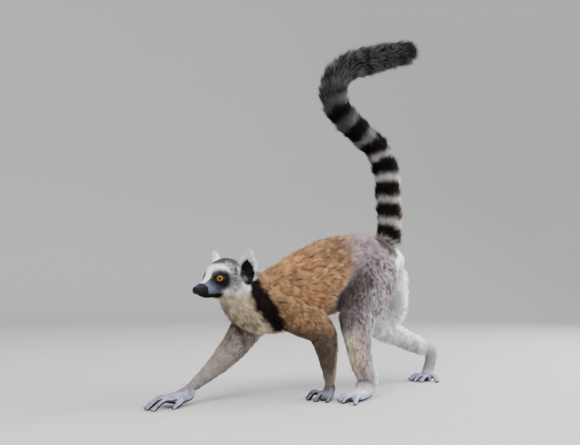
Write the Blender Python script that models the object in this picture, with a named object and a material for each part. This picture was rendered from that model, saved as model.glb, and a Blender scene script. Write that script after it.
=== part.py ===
"""Ring-tailed lemur: a still, life-size model of the animal in mid-stride, tail up and curled back.

The solids give the outline of the coat out to the tips of its hair. The animal faces -X with its left
side towards -Y, and stands on the floor z = 0. Sizes in the tables are centimetres. The body is modelled
whole, as lofts joined into one smooth skin, and then divided with thin cuts into the parts that a person
would name. The two eyes are separate balls in their sockets.
"""

import math

import bmesh
import bpy
import numpy as np
from mathutils import Matrix, Vector

CM = 0.01
GAP = 0.03  # clear space between neighbouring parts
GRAIN = 0.19  # grid on which the lofts are joined
FACES = 4250  # triangles of the whole body before it is divided
AROUND = 20  # points round each loft
SINK = 0.13  # how far the hands and feet are pressed into the floor before they are cut flat

EYE_RADIUS = 0.80
EYE_CENTRE = (4.37, 1.46, 0.95)  # head's own axes: back from the nose tip, to the side, up
NOSE_TIP = (-21.92, -3.7, 18.55)
HEAD_TURN = math.radians(26.8)  # towards the left side
HEAD_NOD = math.radians(-8.2)  # nose down


# ---------------------------------------------------------------- tables, centimetres
# x, y, z of the middle, half width to the side, half depth in the other direction
TRUNK = (
    (-13.3, -0.2, 15.4, 2.6, 2.8),
    (-12.0, -0.1, 15.5, 4.0, 4.1),
    (-9.5, 0.0, 15.8, 4.8, 5.1),
    (-6.5, 0.0, 16.6, 5.3, 5.9),
    (-3.0, 0.0, 17.9, 5.7, 6.4),
    (1.0, 0.0, 19.9, 6.0, 6.8),
    (5.0, 0.0, 21.6, 6.0, 6.9),
    (9.0, 0.0, 23.3, 5.6, 6.1),
    (13.0, 0.0, 24.4, 4.8, 5.1),
    (16.0, 0.0, 24.4, 3.7, 4.1),
    (18.3, 0.0, 24.2, 2.5, 2.6),
)
NECK = (
    (-9.0, 0.0, 16.1, 4.3, 5.1),
    (-11.4, -0.2, 17.1, 4.0, 4.9),
    (-13.5, -0.7, 18.3, 3.4, 4.3),
    (-15.2, -1.3, 19.3, 2.8, 3.5),
)
TAIL = (
    (15.4, 0.0, 24.4, 2.6, 2.6),
    (17.0, 0.0, 26.4, 2.4, 2.4),
    (17.9, 0.0, 29.9, 2.45, 2.45),
    (18.3, 0.0, 34.2, 2.65, 2.65),
    (18.3, 0.0, 38.8, 2.75, 2.75),
    (17.8, 0.0, 42.9, 2.85, 2.85),
    (15.9, 0.0, 46.8, 2.95, 2.95),
    (11.8, 0.0, 49.9, 2.95, 2.95),
    (7.6, 0.0, 53.2, 2.95, 2.95),
    (5.8, -0.3, 56.9, 2.85, 2.85),
    (6.2, -0.8, 59.9, 2.65, 2.65),
    (8.3, -1.5, 62.3, 2.5, 2.5),
    (12.0, -2.3, 64.0, 2.4, 2.4),
    (16.1, -3.3, 65.6, 2.2, 2.2),
    (20.3, -4.3, 66.9, 1.7, 1.7),
    (22.9, -4.9, 67.5, 0.85, 0.85),
)
THIGH_LEFT = (
    (13.2, -2.4, 25.2, 2.8, 3.9),
    (12.0, -3.4, 22.5, 3.5, 5.2),
    (9.8, -4.3, 19.3, 3.6, 5.2),
    (7.5, -5.0, 16.2, 3.2, 4.5),
    (6.4, -5.4, 14.0, 2.7, 3.5),
)
SHANK_LEFT = (
    (6.6, -5.4, 14.0, 2.7, 3.5),
    (6.5, -5.5, 11.2, 2.4, 2.85),
    (6.8, -5.5, 8.6, 2.0, 2.45),
    (7.4, -5.4, 6.1, 1.85, 2.2),
    (8.2, -5.3, 4.2, 1.75, 2.05),
    (9.0, -5.2, 2.6, 1.6, 1.9),
)
THIGH_RIGHT = (
    (13.2, 2.4, 25.0, 2.8, 4.0),
    (15.1, 3.4, 22.0, 3.4, 5.1),
    (16.9, 4.2, 18.5, 3.4, 5.2),
    (18.0, 4.8, 15.0, 3.1, 4.5),
    (18.8, 5.1, 12.2, 2.7, 3.3),
)
RUMP_FRINGE = (
    (17.4, 0.3, 25.4, 2.0, 1.9),
    (19.0, 0.9, 22.9, 2.5, 2.2),
    (20.1, 1.7, 20.2, 2.7, 2.3),
    (20.7, 2.5, 17.6, 2.7, 2.3),
    (20.9, 3.2, 15.2, 2.5, 2.1),
    (20.4, 3.9, 13.4, 2.1, 1.8),
)
SHANK_RIGHT = (
    (17.2, 5.0, 12.6, 2.6, 2.7),
    (20.4, 4.9, 10.7, 2.4, 2.4),
    (24.0, 4.5, 9.0, 1.95, 2.0),
    (28.0, 4.0, 7.3, 1.6, 1.75),
    (30.6, 3.9, 6.4, 1.35, 1.5),
)
ARM_LEFT = (
    (-7.2, -3.0, 15.8, 2.3, 3.2),
    (-4.0, -3.8, 13.9, 2.4, 3.1),
    (-0.45, -4.3, 12.0, 2.2, 2.8),
    (0.8, -4.4, 9.6, 1.95, 2.45),
    (1.3, -4.2, 7.4, 1.7, 2.05),
    (1.8, -3.8, 5.0, 1.4, 1.6),
    (2.1, -3.4, 3.1, 1.1, 1.2),
    (2.2, -3.1, 1.9, 1.1, 1.0),
)
ARM_RIGHT = (
    (-7.6, 3.0, 15.6, 2.4, 3.3),
    (-10.0, 3.3, 12.6, 2.4, 3.1),
    (-12.3, 3.3, 9.4, 2.2, 2.7),
    (-14.6, 3.3, 7.0, 1.9, 2.25),
    (-17.2, 3.3, 4.8, 1.5, 1.65),
    (-19.6, 3.3, 3.0, 1.15, 1.2),
    (-21.2, 3.2, 2.1, 1.1, 0.95),
)
# each hand and foot: its block, then its fingers or toes; x, y, z, half width, half depth
HAND_LEFT = (
    ((2.3, -3.1, 2.1, 1.05, 0.95), (1.9, -2.9, 1.05, 1.35, 0.95), (1.2, -2.5, 0.78, 1.5, 0.8)),
    ((1.3, -1.4, 1.0, 0.42, 0.42), (0.7, -0.3, 0.9, 0.38, 0.4), (0.4, 0.7, 0.26, 0.36, 0.38)),
    ((1.0, -1.9, 1.2, 0.44, 0.44), (0.1, -1.0, 1.3, 0.4, 0.42), (-0.5, -0.3, 0.26, 0.36, 0.38)),
    ((0.9, -2.5, 1.2, 0.44, 0.44), (-0.2, -2.2, 1.4, 0.4, 0.42), (-1.2, -1.9, 0.26, 0.36, 0.38)),
    ((1.1, -3.1, 1.2, 0.42, 0.42), (0.1, -3.4, 1.2, 0.4, 0.42), (-0.8, -3.6, 0.26, 0.36, 0.38)),
    ((1.9, -3.6, 0.9, 0.45, 0.45), (1.4, -4.4, 0.8, 0.4, 0.42), (0.7, -4.85, 0.26, 0.36, 0.38)),
)
HAND_RIGHT = (
    ((-20.4, 3.2, 1.9, 1.1, 1.15), (-21.8, 3.1, 1.5, 1.3, 1.1), (-23.6, 2.9, 1.45, 1.55, 0.75)),
    ((-23.2, 1.8, 1.5, 0.42, 0.45), (-24.8, 1.4, 1.4, 0.4, 0.42), (-26.3, 1.0, 0.26, 0.36, 0.38)),
    ((-23.4, 2.5, 1.6, 0.42, 0.45), (-25.3, 2.3, 1.6, 0.4, 0.42), (-27.0, 2.2, 0.26, 0.36, 0.38)),
    ((-23.4, 3.3, 1.6, 0.42, 0.45), (-25.2, 3.5, 1.6, 0.4, 0.42), (-26.9, 3.7, 0.26, 0.36, 0.38)),
    ((-23.0, 4.0, 1.5, 0.42, 0.45), (-24.4, 4.6, 1.4, 0.4, 0.42), (-25.7, 5.2, 0.26, 0.36, 0.38)),
    ((-21.3, 2.6, 1.3, 0.5, 0.5), (-22.2, 1.7, 0.8, 0.45, 0.48), (-23.2, 1.1, 0.26, 0.4, 0.38)),
)
HEEL_LEFT = ((9.6, -5.0, 2.3, 1.3, 1.3), (8.9, -5.1, 2.2, 1.45, 1.55), (7.6, -5.4, 2.0, 1.5, 1.35))
FOOT_LEFT = (
    ((8.4, -5.2, 1.45, 1.35, 1.2), (6.7, -5.7, 1.1, 1.45, 1.1), (5.1, -6.1, 0.9, 1.6, 0.92)),
    ((5.2, -4.9, 0.95, 0.5, 0.5), (4.2, -4.75, 1.05, 0.45, 0.48), (3.2, -4.6, 0.3, 0.4, 0.4)),
    ((5.2, -5.6, 1.05, 0.5, 0.5), (4.0, -5.5, 1.15, 0.45, 0.48), (2.85, -5.45, 0.3, 0.4, 0.4)),
    ((5.2, -6.3, 1.05, 0.5, 0.5), (3.9, -6.5, 1.15, 0.45, 0.48), (2.75, -6.6, 0.3, 0.4, 0.4)),
    ((5.6, -7.0, 0.95, 0.5, 0.5), (4.6, -7.8, 0.95, 0.48, 0.5), (3.7, -8.6, 0.3, 0.42, 0.4)),
    ((6.8, -4.9, 0.85, 0.62, 0.58), (5.9, -3.6, 0.65, 0.56, 0.55), (5.0, -2.8, 0.34, 0.48, 0.44)),
)
FOOT_RIGHT = (
    ((29.6, 4.0, 6.9, 1.2, 1.35), (31.0, 4.1, 6.2, 1.3, 1.3), (31.4, 4.5, 4.4, 1.25, 1.1),
     (31.2, 5.0, 2.6, 1.35, 1.0), (30.7, 5.3, 0.85, 1.55, 0.95)),
    ((30.6, 4.5, 0.9, 0.5, 0.55), (29.3, 4.1, 1.1, 0.45, 0.5), (28.0, 3.7, 0.3, 0.4, 0.4)),
    ((30.5, 5.2, 0.9, 0.5, 0.55), (28.9, 5.1, 1.15, 0.45, 0.5), (27.4, 5.0, 0.3, 0.4, 0.4)),
    ((30.5, 5.9, 0.9, 0.5, 0.55), (28.9, 6.1, 1.15, 0.45, 0.5), (27.5, 6.3, 0.3, 0.4, 0.4)),
    ((30.6, 6.5, 0.9, 0.5, 0.55), (29.4, 7.0, 1.05, 0.45, 0.48), (28.3, 7.6, 0.3, 0.4, 0.4)),
    ((31.1, 4.6, 1.6, 0.6, 0.6), (31.2, 3.3, 1.1, 0.55, 0.55), (30.9, 2.3, 0.36, 0.5, 0.46)),
)
# back from the nose tip, top, bottom, half width
HEAD = (
    (0.0, 0.12, -0.75, 0.5),
    (0.35, 0.3, -1.2, 0.82),
    (1.0, 0.5, -1.6, 1.02),
    (1.8, 0.76, -1.85, 1.15),
    (2.5, 1.05, -1.95, 1.25),
    (3.1, 1.75, -2.0, 1.52),
    (3.8, 2.75, -2.05, 2.0),
    (4.6, 3.3, -2.1, 2.48),
    (5.6, 3.85, -2.15, 2.8),
    (6.8, 4.15, -2.1, 2.9),
    (8.0, 4.0, -1.9, 2.75),
    (9.0, 3.45, -1.4, 2.35),
    (9.8, 2.6, -0.6, 1.7),
)
# half width of the ear at each height from its root to its tip, and how far its middle is hollowed
EAR = (
    (-1.4, 1.0, 0.5),
    (0.2, 1.6, 0.85),
    (1.4, 1.75, 0.9),
    (2.4, 1.4, 0.7),
    (3.3, 0.9, 0.35),
    (4.3, 0.25, 0.0),
)
EAR_ROOT = (8.85, 2.9, 1.0)
EAR_UP = (0.03, 0.27, 0.94)
# the way each ear faces: the left one forwards and out, the right one turned out to the side
EAR_FACES = {-1: (-0.62, -0.72, 0.0), 1: (-0.20, 0.98, 0.0)}
EAR_WALL = 0.42

# name, cut through the body (middle of the cut, direction of the part beyond it), half widths, length.
# Each part is everything left inside a straight block that starts at the cut.
PARTS = (
    ("ear_left", ("ear", -1), None, (2.6, 2.6), 6.0),
    ("ear_right", ("ear", 1), None, (2.6, 2.6), 6.0),
    ("hand_left", (0.4, -2.0, 2.45), (0.0, 0.0, -1.0), (2.55, 3.12), 4.0),
    ("hand_right", (-20.3, 3.2, 2.55), (-0.85, 0.0, -0.52), (4.5, 4.0), 9.0),
    ("foot_left", (8.8, -5.2, 3.5), (0.25, 0.0, -1.0), (7.6, 4.3), 5.0),
    ("foot_right", (29.6, 4.0, 6.8), (1.0, 0.1, -0.62), (8.0, 6.0), 9.0),
    ("forearm_left", (0.2, -4.3, 10.6), (0.3, 0.1, -1.0), (2.95, 3.2), 9.5),
    ("forearm_right", (-12.7, 3.3, 8.9), (-0.75, 0.0, -0.62), (3.6, 3.4), 12.0),
    ("upper_arm_left", (-3.14, -3.5, 13.3), (0.0, -1.0, 0.0), (3.9, 5.98), 8.0),
    ("upper_arm_right", (-10.0, 3.2, 12.0), (0.0, 1.0, 0.0), (3.6, 6.6), 8.0),
    ("shank_left", (6.6, -5.4, 13.6), (0.0, 0.0, -1.0), (3.82, 3.6), 11.0),
    ("shank_right", (18.9, 5.0, 11.9), (0.86, 0.0, -0.5), (3.6, 3.6), 13.0),
    ("tail_8", (15.0, -3.0, 65.2), (0.93, -0.2, 0.3), (5.0, 5.0), 10.0),
    ("tail_7", (8.1, -1.5, 62.2), (0.86, -0.25, 0.45), (5.5, 5.5), 9.0),
    ("tail_6", (5.6, -0.3, 57.2), (0.1, -0.2, 1.0), (4.2, 4.2), 9.0),
    ("tail_5", (9.4, 0.0, 51.7), (-0.75, 0.0, 0.66), (5.0, 5.0), 11.0),
    ("tail_4", (15.4, 0.0, 47.2), (-0.75, 0.0, 0.66), (4.4, 4.2), 9.0),
    ("tail_3", (18.1, 0.0, 41.0), (-0.1, 0.0, 1.0), (5.5, 4.0), 9.0),
    ("tail_2", (18.2, 0.0, 34.2), (0.0, 0.0, 1.0), (4.0, 4.0), 8.0),
    ("tail_1", (16.9, 0.0, 28.4), (0.5, 0.0, 0.87), (4.8, 3.6), 9.0),
    ("head", (-15.3, -1.0, 19.6), (-0.86, -0.12, 0.5), (7.0, 6.0), 13.0),
    ("neck", (-11.9, -0.2, 17.2), (-0.88, -0.05, 0.46), (6.0, 6.5), 9.0),
    ("thigh_left", (9.8, -3.0, 19.5), (0.0, -1.0, 0.0), (5.5, 9.0), 8.0),
    ("thigh_right", (16.3, 3.0, 18.2), (0.0, 1.0, 0.0), (5.9, 9.8), 8.0),
    ("chest", (-4.4, 0.0, 17.4), (-0.93, 0.0, -0.37), (9.0, 10.0), 16.0),
    ("belly", (5.8, 0.0, 21.8), (-0.93, 0.0, -0.37), (9.5, 11.0), 16.0),
)
# how far each side block leans, for the blocks that lie along a limb: long axis
LONG_AXIS = {
    "hand_left": (0.5, -0.87, 0.0),
    "upper_arm_left": (1.0, 0.0, 0.0),
    "upper_arm_right": (-0.6, 0.0, -0.8),
    "thigh_left": (-0.45, 0.0, -0.9),
    "thigh_right": (0.3, 0.0, -0.95),
}
HIPS = "hips"
COLOURS = {
    "head": (0.78, 0.77, 0.75), "neck": (0.42, 0.36, 0.30), "chest": (0.60, 0.55, 0.48),
    "belly": (0.48, 0.33, 0.20), "hips": (0.40, 0.37, 0.36), "ear": (0.80, 0.79, 0.77),
    "eye": (0.75, 0.33, 0.05), "hand": (0.45, 0.45, 0.50), "foot": (0.62, 0.62, 0.66),
    "upper_arm": (0.42, 0.30, 0.20), "forearm": (0.36, 0.32, 0.28), "thigh": (0.36, 0.34, 0.34),
    "shank": (0.52, 0.49, 0.46), "tail": (0.30, 0.30, 0.30),
}


# ---------------------------------------------------------------- shapes
def smooth_path(table, between=4):
    """A smooth curve through the rows of a table (Catmull-Rom), with some rows added between each two."""
    rows = np.array(table, float)
    rows = np.vstack([2 * rows[0] - rows[1], rows, 2 * rows[-1] - rows[-2]])
    out = []
    for a, b, c, d in zip(rows[:-3], rows[1:-2], rows[2:-1], rows[3:]):
        for t in np.arange(between) / between:
            out.append(0.5 * (2 * b + (c - a) * t + (2 * a - 5 * b + 4 * c - d) * t**2
                              + (3 * b - a - 3 * c + d) * t**3))
    return np.array(out + [rows[-2]])


def loft(table, side=(0.0, 1.0, 0.0)):
    """A closed tube through the table, elliptic in section, with rounded ends."""
    path = smooth_path(table)
    middle, sizes = path[:, :3], path[:, 3:]
    along = np.gradient(middle, axis=0)
    along /= np.linalg.norm(along, axis=1)[:, None]
    across = np.array(side) - along * (along @ np.array(side))[:, None]
    across /= np.linalg.norm(across, axis=1)[:, None]
    upward = np.cross(along, across)
    angle = np.linspace(0, 2 * math.pi, AROUND, endpoint=False)
    rings = []
    lean = np.radians([70, 45, 20])
    ends = [(0, -1, a) for a in lean] + [(i, 0, 0.0) for i in range(len(path))]
    ends += [(-1, 1, a) for a in lean[::-1]]
    for i, way, a in ends:
        size = sizes[i] * math.cos(a)
        centre = middle[i] + way * along[i] * math.sin(a) * sizes[i].min()
        rings.append(centre + np.outer(np.cos(angle), across[i]) * size[0]
                     + np.outer(np.sin(angle), upward[i]) * size[1])
    tips = [middle[0] - along[0] * sizes[0].min(), middle[-1] + along[-1] * sizes[-1].min()]
    return tube_mesh(rings, tips)


def tube_mesh(rings, tips):
    """Vertices and faces of rings joined one to the next, closed by a point at each end."""
    n, m = len(rings), len(rings[0])
    verts = np.vstack(rings + [np.array(tips)])
    faces = []
    for i in range(n - 1):
        for j in range(m):
            k = (j + 1) % m
            faces.append((i * m + j, i * m + k, (i + 1) * m + k, (i + 1) * m + j))
    for j in range(m):
        k = (j + 1) % m
        faces.append((n * m, k, j))
        faces.append((n * m + 1, (n - 1) * m + j, (n - 1) * m + k))
    return verts, faces


def head_matrix():
    """Turns the head's own axes into the body's."""
    turn = Matrix.Rotation(HEAD_TURN, 4, "Z") @ Matrix.Rotation(HEAD_NOD, 4, "Y")
    return Matrix.Translation(NOSE_TIP) @ turn


def placed(points, matrix):
    """Points moved by a matrix."""
    m = np.array(matrix)
    return np.array(points) @ m[:3, :3].T + m[:3, 3]


def head_loft():
    """The head: each section is an egg between its top and its bottom."""
    rows = smooth_path(HEAD, 3)
    angle = np.linspace(0, 2 * math.pi, 28, endpoint=False)
    rings = []
    for x, top, bottom, half in rows:
        middle, tall = (top + bottom) / 2, (top - bottom) / 2
        y = half * np.sign(np.cos(angle)) * np.abs(np.cos(angle)) ** 0.92
        z = middle + tall * np.sin(angle)
        rings.append(np.stack([np.full_like(y, x), y, z], 1))
    first, last = rows[0], rows[-1]
    tips = [(-0.12, 0.0, (first[1] + first[2]) / 2), (last[0] + 0.7, 0.0, (last[1] + last[2]) / 2)]
    verts, faces = tube_mesh(rings, tips)
    return placed(verts, head_matrix()), faces


def ear_axes(way):
    """The ear's root and its directions up, across and outwards, in the head's own axes."""
    root = Vector((EAR_ROOT[0], way * EAR_ROOT[1], EAR_ROOT[2]))
    up = Vector((EAR_UP[0], way * EAR_UP[1], EAR_UP[2])).normalized()
    out = Vector(EAR_FACES[way])
    out = (out - up * out.dot(up)).normalized()
    return root, up, up.cross(out), out


def ear_shell(way):
    """The ear: a leaf, hollowed towards the front, with an even wall."""
    root, up, across, out = (np.array(v) for v in ear_axes(way))
    rows = smooth_path(EAR, 3)
    u = np.linspace(-1, 1, 11)
    sheets = []
    for wall in (EAR_WALL / 2, -EAR_WALL / 2):
        sheet = [root + up * h + np.outer(u * (w + wall * 0), across)
                 - np.outer(deep * (1 - u**2) - wall, out) for h, w, deep in rows]
        sheets.append(np.array(sheet))
    n, m = len(rows), len(u)
    verts = np.vstack([s.reshape(-1, 3) for s in sheets])
    faces = []
    for i in range(n - 1):
        for j in range(m - 1):
            quad = (i * m + j, i * m + j + 1, (i + 1) * m + j + 1, (i + 1) * m + j)
            faces += [quad, tuple(n * m + q for q in quad[::-1])]
    edge = [(0, j) for j in range(m)] + [(i, m - 1) for i in range(1, n)]
    edge += [(n - 1, j) for j in range(m - 2, -1, -1)] + [(i, 0) for i in range(n - 2, 0, -1)]
    for (i, j), (k, l) in zip(edge, edge[1:] + edge[:1]):
        a, b = i * m + j, k * m + l
        faces.append((b, a, n * m + a, n * m + b))
    return placed(verts, head_matrix()), faces


# ---------------------------------------------------------------- objects
def add_object(name, verts, faces):
    """A mesh object with faces turned outwards."""
    mesh = bpy.data.meshes.new(name)
    mesh.from_pydata([tuple(v) for v in verts], [], [tuple(f) for f in faces])
    bm = bmesh.new()
    bm.from_mesh(mesh)
    bmesh.ops.recalc_face_normals(bm, faces=bm.faces)
    bm.to_mesh(mesh)
    bm.free()
    obj = bpy.data.objects.new(name, mesh)
    bpy.context.scene.collection.objects.link(obj)
    return obj


def bake(obj):
    """Replaces the object's mesh with what its modifiers make of it."""
    graph = bpy.context.evaluated_depsgraph_get()
    mesh = bpy.data.meshes.new_from_object(obj.evaluated_get(graph))
    obj.modifiers.clear()
    obj.data = mesh


def boolean(obj, cutter, operation):
    """Cuts the object with the cutter, or keeps what they share."""
    change = obj.modifiers.new(operation, "BOOLEAN")
    change.operation = operation
    change.object = cutter
    bake(obj)


def join_all(pieces, name):
    """One object that holds every piece."""
    verts, faces, base = [], [], 0
    for v, f in pieces:
        verts.append(np.array(v))
        faces += [tuple(base + i for i in face) for face in f]
        base += len(v)
    return add_object(name, np.vstack(verts), faces)


def block(name, middle, direction, halves, length, grow=0.0, long_axis=None):
    """A straight block that starts at the cut and runs the way of the part beyond it."""
    forward = Vector(direction).normalized()
    guide = Vector(long_axis) if long_axis else Vector((0, 1, 0))
    second = (guide - forward * guide.dot(forward)).normalized()
    first = second.cross(forward)
    corners = []
    for t in (-grow, length + grow):
        for i, j in ((-1, -1), (1, -1), (1, 1), (-1, 1)):
            corners.append(Vector(middle) + forward * t + first * (i * (halves[0] + grow))
                           + second * (j * (halves[1] + grow)))
    quads = ((0, 1, 2, 3), (7, 6, 5, 4), (0, 4, 5, 1), (1, 5, 6, 2), (2, 6, 7, 3), (3, 7, 4, 0))
    return add_object(name, corners, quads)


def ball(name, centre, radius, around=16, rows=9):
    """A round ball."""
    rings = []
    for a in np.linspace(0, math.pi, rows + 2)[1:-1]:
        turn = np.linspace(0, 2 * math.pi, around, endpoint=False)
        flat = math.sin(a)
        ring = np.stack([np.cos(turn) * flat, np.sin(turn) * flat, np.full(around, math.cos(a))], 1)
        rings.append(np.array(centre) + radius * ring)
    tips = [np.array(centre) + (0, 0, radius), np.array(centre) - (0, 0, radius)]
    verts, faces = tube_mesh(rings, tips)
    return add_object(name, verts, faces)


def keep_largest(obj):
    """Drops the crumbs that a cut may leave beside the part."""
    bm = bmesh.new()
    bm.from_mesh(obj.data)
    left, shells = set(bm.verts), []
    while left:
        stack, shell = [next(iter(left))], set()
        while stack:
            v = stack.pop()
            if v in left:
                left.discard(v)
                shell.add(v)
                stack += [e.other_vert(v) for e in v.link_edges]
        shells.append(shell)
    shells.sort(key=len)
    bmesh.ops.delete(bm, geom=[v for s in shells[:-1] for v in s], context="VERTS")
    bm.to_mesh(obj.data)
    bm.free()


def whole_body():
    """Every loft joined on one fine grid, smoothed, thinned and cut flat where it stands."""
    pieces = [loft(t) for t in (TRUNK, NECK, TAIL, THIGH_LEFT, SHANK_LEFT, THIGH_RIGHT, SHANK_RIGHT,
                                RUMP_FRINGE, ARM_LEFT, ARM_RIGHT, HEEL_LEFT)]
    for group in (HAND_LEFT, HAND_RIGHT, FOOT_LEFT, FOOT_RIGHT):
        pieces += [loft(np.array(t) - (0, 0, SINK, 0, 0)) for t in group]
    pieces += [head_loft(), ear_shell(-1), ear_shell(1)]
    body = join_all(pieces, "body")
    grid = body.modifiers.new("join", "REMESH")
    grid.mode, grid.voxel_size, grid.use_smooth_shade = "VOXEL", GRAIN, False
    soft = body.modifiers.new("soften", "SMOOTH")
    soft.factor, soft.iterations = 0.5, 4
    bake(body)
    triangles = sum(len(p.vertices) - 2 for p in body.data.polygons)
    thin = body.modifiers.new("thin", "DECIMATE")
    thin.ratio = FACES / triangles
    bake(body)
    floor = block("floor", (0, 0, 0), (0, 0, -1), (60, 60), 10)
    boolean(body, floor, "DIFFERENCE")
    bpy.data.objects.remove(floor)
    return body


def eye_centre(way):
    """The middle of an eye in the body's axes."""
    x, y, z = EYE_CENTRE
    return placed([(x, way * y, z)], head_matrix())[0]


def cut_of(part):
    """The cut's middle and direction. An ear's cut is taken from its own axes."""
    name, middle, direction, halves, length = part
    if middle[0] != "ear":
        return middle, direction, halves, length
    root, up, across, out = ear_axes(middle[1])
    turn = head_matrix()
    side = Vector((0.0, middle[1] * 0.5, 0.0))
    way = (turn.to_3x3() @ (up * 0.75 + side)).normalized()
    return turn @ (root + up * 0.75), way, halves, length


def divide(body):
    """Takes the parts off one after another, from the ends of the limbs inwards. What is left is the hips."""
    nodes = []
    for part in PARTS:
        name = part[0]
        middle, direction, halves, length = cut_of(part)
        lean = LONG_AXIS.get(name)
        taken = body.copy()
        taken.data = body.data.copy()
        taken.name = name
        bpy.context.scene.collection.objects.link(taken)
        inner = block("inner", middle, direction, halves, length, 0.0, lean)
        outer = block("outer", middle, direction, halves, length, GAP, lean)
        boolean(taken, inner, "INTERSECT")
        boolean(body, outer, "DIFFERENCE")
        bpy.data.objects.remove(inner)
        bpy.data.objects.remove(outer)
        keep_largest(taken)
        keep_largest(body)
        nodes.append(taken)
    body.name = HIPS
    return nodes + [body]


def colour(obj):
    """A plain material of the part's own colour."""
    kind = next(k for k in COLOURS if obj.name.startswith(k))
    material = bpy.data.materials.new(obj.name + "_coat")
    material.use_nodes = True
    shader = material.node_tree.nodes["Principled BSDF"]
    shader.inputs["Base Color"].default_value = (*COLOURS[kind], 1.0)
    shader.inputs["Roughness"].default_value = 0.05 if kind == "eye" else 0.85
    obj.data.materials.clear()
    obj.data.materials.append(material)


def finish(nodes):
    """Metres, with the middle of the box's bottom at the origin."""
    points = np.vstack([[v.co[:] for v in n.data.vertices] for n in nodes])
    low, high = points.min(0), points.max(0)
    shift = Vector((-(low[0] + high[0]) / 2, -(low[1] + high[1]) / 2, 0.0))
    for node in nodes:
        node.data.transform(Matrix.Scale(CM, 4) @ Matrix.Translation(shift))
        colour(node)
    print("origin moved by", [round(s, 4) for s in shift], "cm")


def main():
    for old in list(bpy.data.objects):
        bpy.data.objects.remove(old)
    body = whole_body()
    eyes = []
    for side, way in (("left", -1), ("right", 1)):
        socket = ball("socket", eye_centre(way), EYE_RADIUS + GAP)
        boolean(body, socket, "DIFFERENCE")
        bpy.data.objects.remove(socket)
        eyes.append(ball("eye_" + side, eye_centre(way), EYE_RADIUS))
    finish(divide(body) + eyes)


main()
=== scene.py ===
"""Ring-tailed lemur, life size and still: one skin with its face and paws, under a coat of solid tufts."""
import math
from collections import namedtuple

import bmesh
import bpy
import numpy as np
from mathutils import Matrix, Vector


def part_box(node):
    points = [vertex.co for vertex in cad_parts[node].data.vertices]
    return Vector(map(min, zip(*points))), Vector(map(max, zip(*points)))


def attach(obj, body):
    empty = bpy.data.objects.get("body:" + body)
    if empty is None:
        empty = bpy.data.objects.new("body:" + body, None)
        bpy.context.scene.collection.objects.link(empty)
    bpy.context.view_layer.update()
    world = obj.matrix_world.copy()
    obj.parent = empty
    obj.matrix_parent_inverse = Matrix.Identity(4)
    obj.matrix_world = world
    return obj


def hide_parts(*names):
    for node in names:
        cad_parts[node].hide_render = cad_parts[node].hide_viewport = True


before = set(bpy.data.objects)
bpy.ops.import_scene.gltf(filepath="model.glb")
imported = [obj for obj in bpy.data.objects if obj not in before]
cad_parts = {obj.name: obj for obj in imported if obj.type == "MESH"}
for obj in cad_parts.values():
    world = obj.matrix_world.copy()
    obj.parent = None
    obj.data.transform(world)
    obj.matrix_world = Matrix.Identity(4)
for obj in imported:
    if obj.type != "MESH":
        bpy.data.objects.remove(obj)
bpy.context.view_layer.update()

bl_info = {
    "name": "Ring-tailed lemur",
    "version": (1, 0, 0),
    "blender": (4, 5, 0),
    "location": "View3D > Sidebar > Lemur",
    "description": "Skin, coat, eyes and nails of a life-size lemur model, round its packed solids",
    "category": "Add Mesh",
}

# ---------------------------------------------------------------- the animal's measures, in centimetres
# The animal faces -X, its left side is towards -Y and it stands on z = 0.
CM = 0.01
BODY = "root"
EYE_RADIUS = 0.80
LID_REACH = 1.6  # the lids' folds end this far from the eye's middle
IRIS_ANGLE = math.radians(46)  # from the eye's axis to the edge of the iris
EYE_CENTRE = (4.37, 1.46, 0.95)  # head's own axes: back from the nose tip, to the side, up
NOSE_TIP = (-21.92, -3.7, 18.55)
HEAD_TURN = math.radians(26.8)
HEAD_NOD = math.radians(-8.2)
SINK = 0.13  # how far hands and feet press into the floor
DIGIT_SIZE = 0.7  # a finger's or toe's half width stays under this, a palm's and sole's doesn't

# x, y, z of the middle, half width to the side, half depth, all out to the tips of the coat
TRUNK = (
    (-13.3, -0.2, 15.4, 2.6, 2.8), (-12.0, -0.1, 15.5, 4.0, 4.1), (-9.5, 0.0, 15.8, 4.8, 5.1),
    (-6.5, 0.0, 16.6, 5.3, 5.9), (-3.0, 0.0, 17.9, 5.7, 6.4), (1.0, 0.0, 19.9, 6.0, 6.8),
    (5.0, 0.0, 21.6, 6.0, 6.9), (9.0, 0.0, 23.3, 5.6, 6.1), (13.0, 0.0, 24.4, 4.8, 5.1),
    (16.0, 0.0, 24.4, 3.7, 4.1), (18.3, 0.0, 24.2, 2.5, 2.6),
)
NECK = (
    (-15.2, -1.3, 19.3, 2.8, 3.5), (-13.5, -0.7, 18.3, 3.4, 4.3), (-11.4, -0.2, 17.1, 4.0, 4.9),
    (-9.0, 0.0, 16.1, 4.3, 5.1),
)
TAIL = (
    (15.4, 0.0, 24.4, 2.6, 2.6), (17.0, 0.0, 26.4, 2.4, 2.4), (17.9, 0.0, 29.9, 2.45, 2.45),
    (18.3, 0.0, 34.2, 2.65, 2.65), (18.3, 0.0, 38.8, 2.75, 2.75), (17.8, 0.0, 42.9, 2.85, 2.85),
    (15.9, 0.0, 46.8, 2.95, 2.95), (11.8, 0.0, 49.9, 2.95, 2.95), (7.6, 0.0, 53.2, 2.95, 2.95),
    (5.8, -0.3, 56.9, 2.85, 2.85), (6.2, -0.8, 59.9, 2.65, 2.65), (8.3, -1.5, 62.3, 2.5, 2.5),
    (12.0, -2.3, 64.0, 2.4, 2.4), (16.1, -3.3, 65.6, 2.2, 2.2), (20.3, -4.3, 66.9, 1.7, 1.7),
)
THIGH_LEFT = (
    (13.2, -2.4, 25.2, 2.8, 3.9), (12.0, -3.4, 22.5, 3.5, 5.2), (9.8, -4.3, 19.3, 3.6, 5.2),
    (7.5, -5.0, 16.2, 3.2, 4.5), (6.4, -5.4, 14.0, 2.7, 3.5),
)
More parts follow.
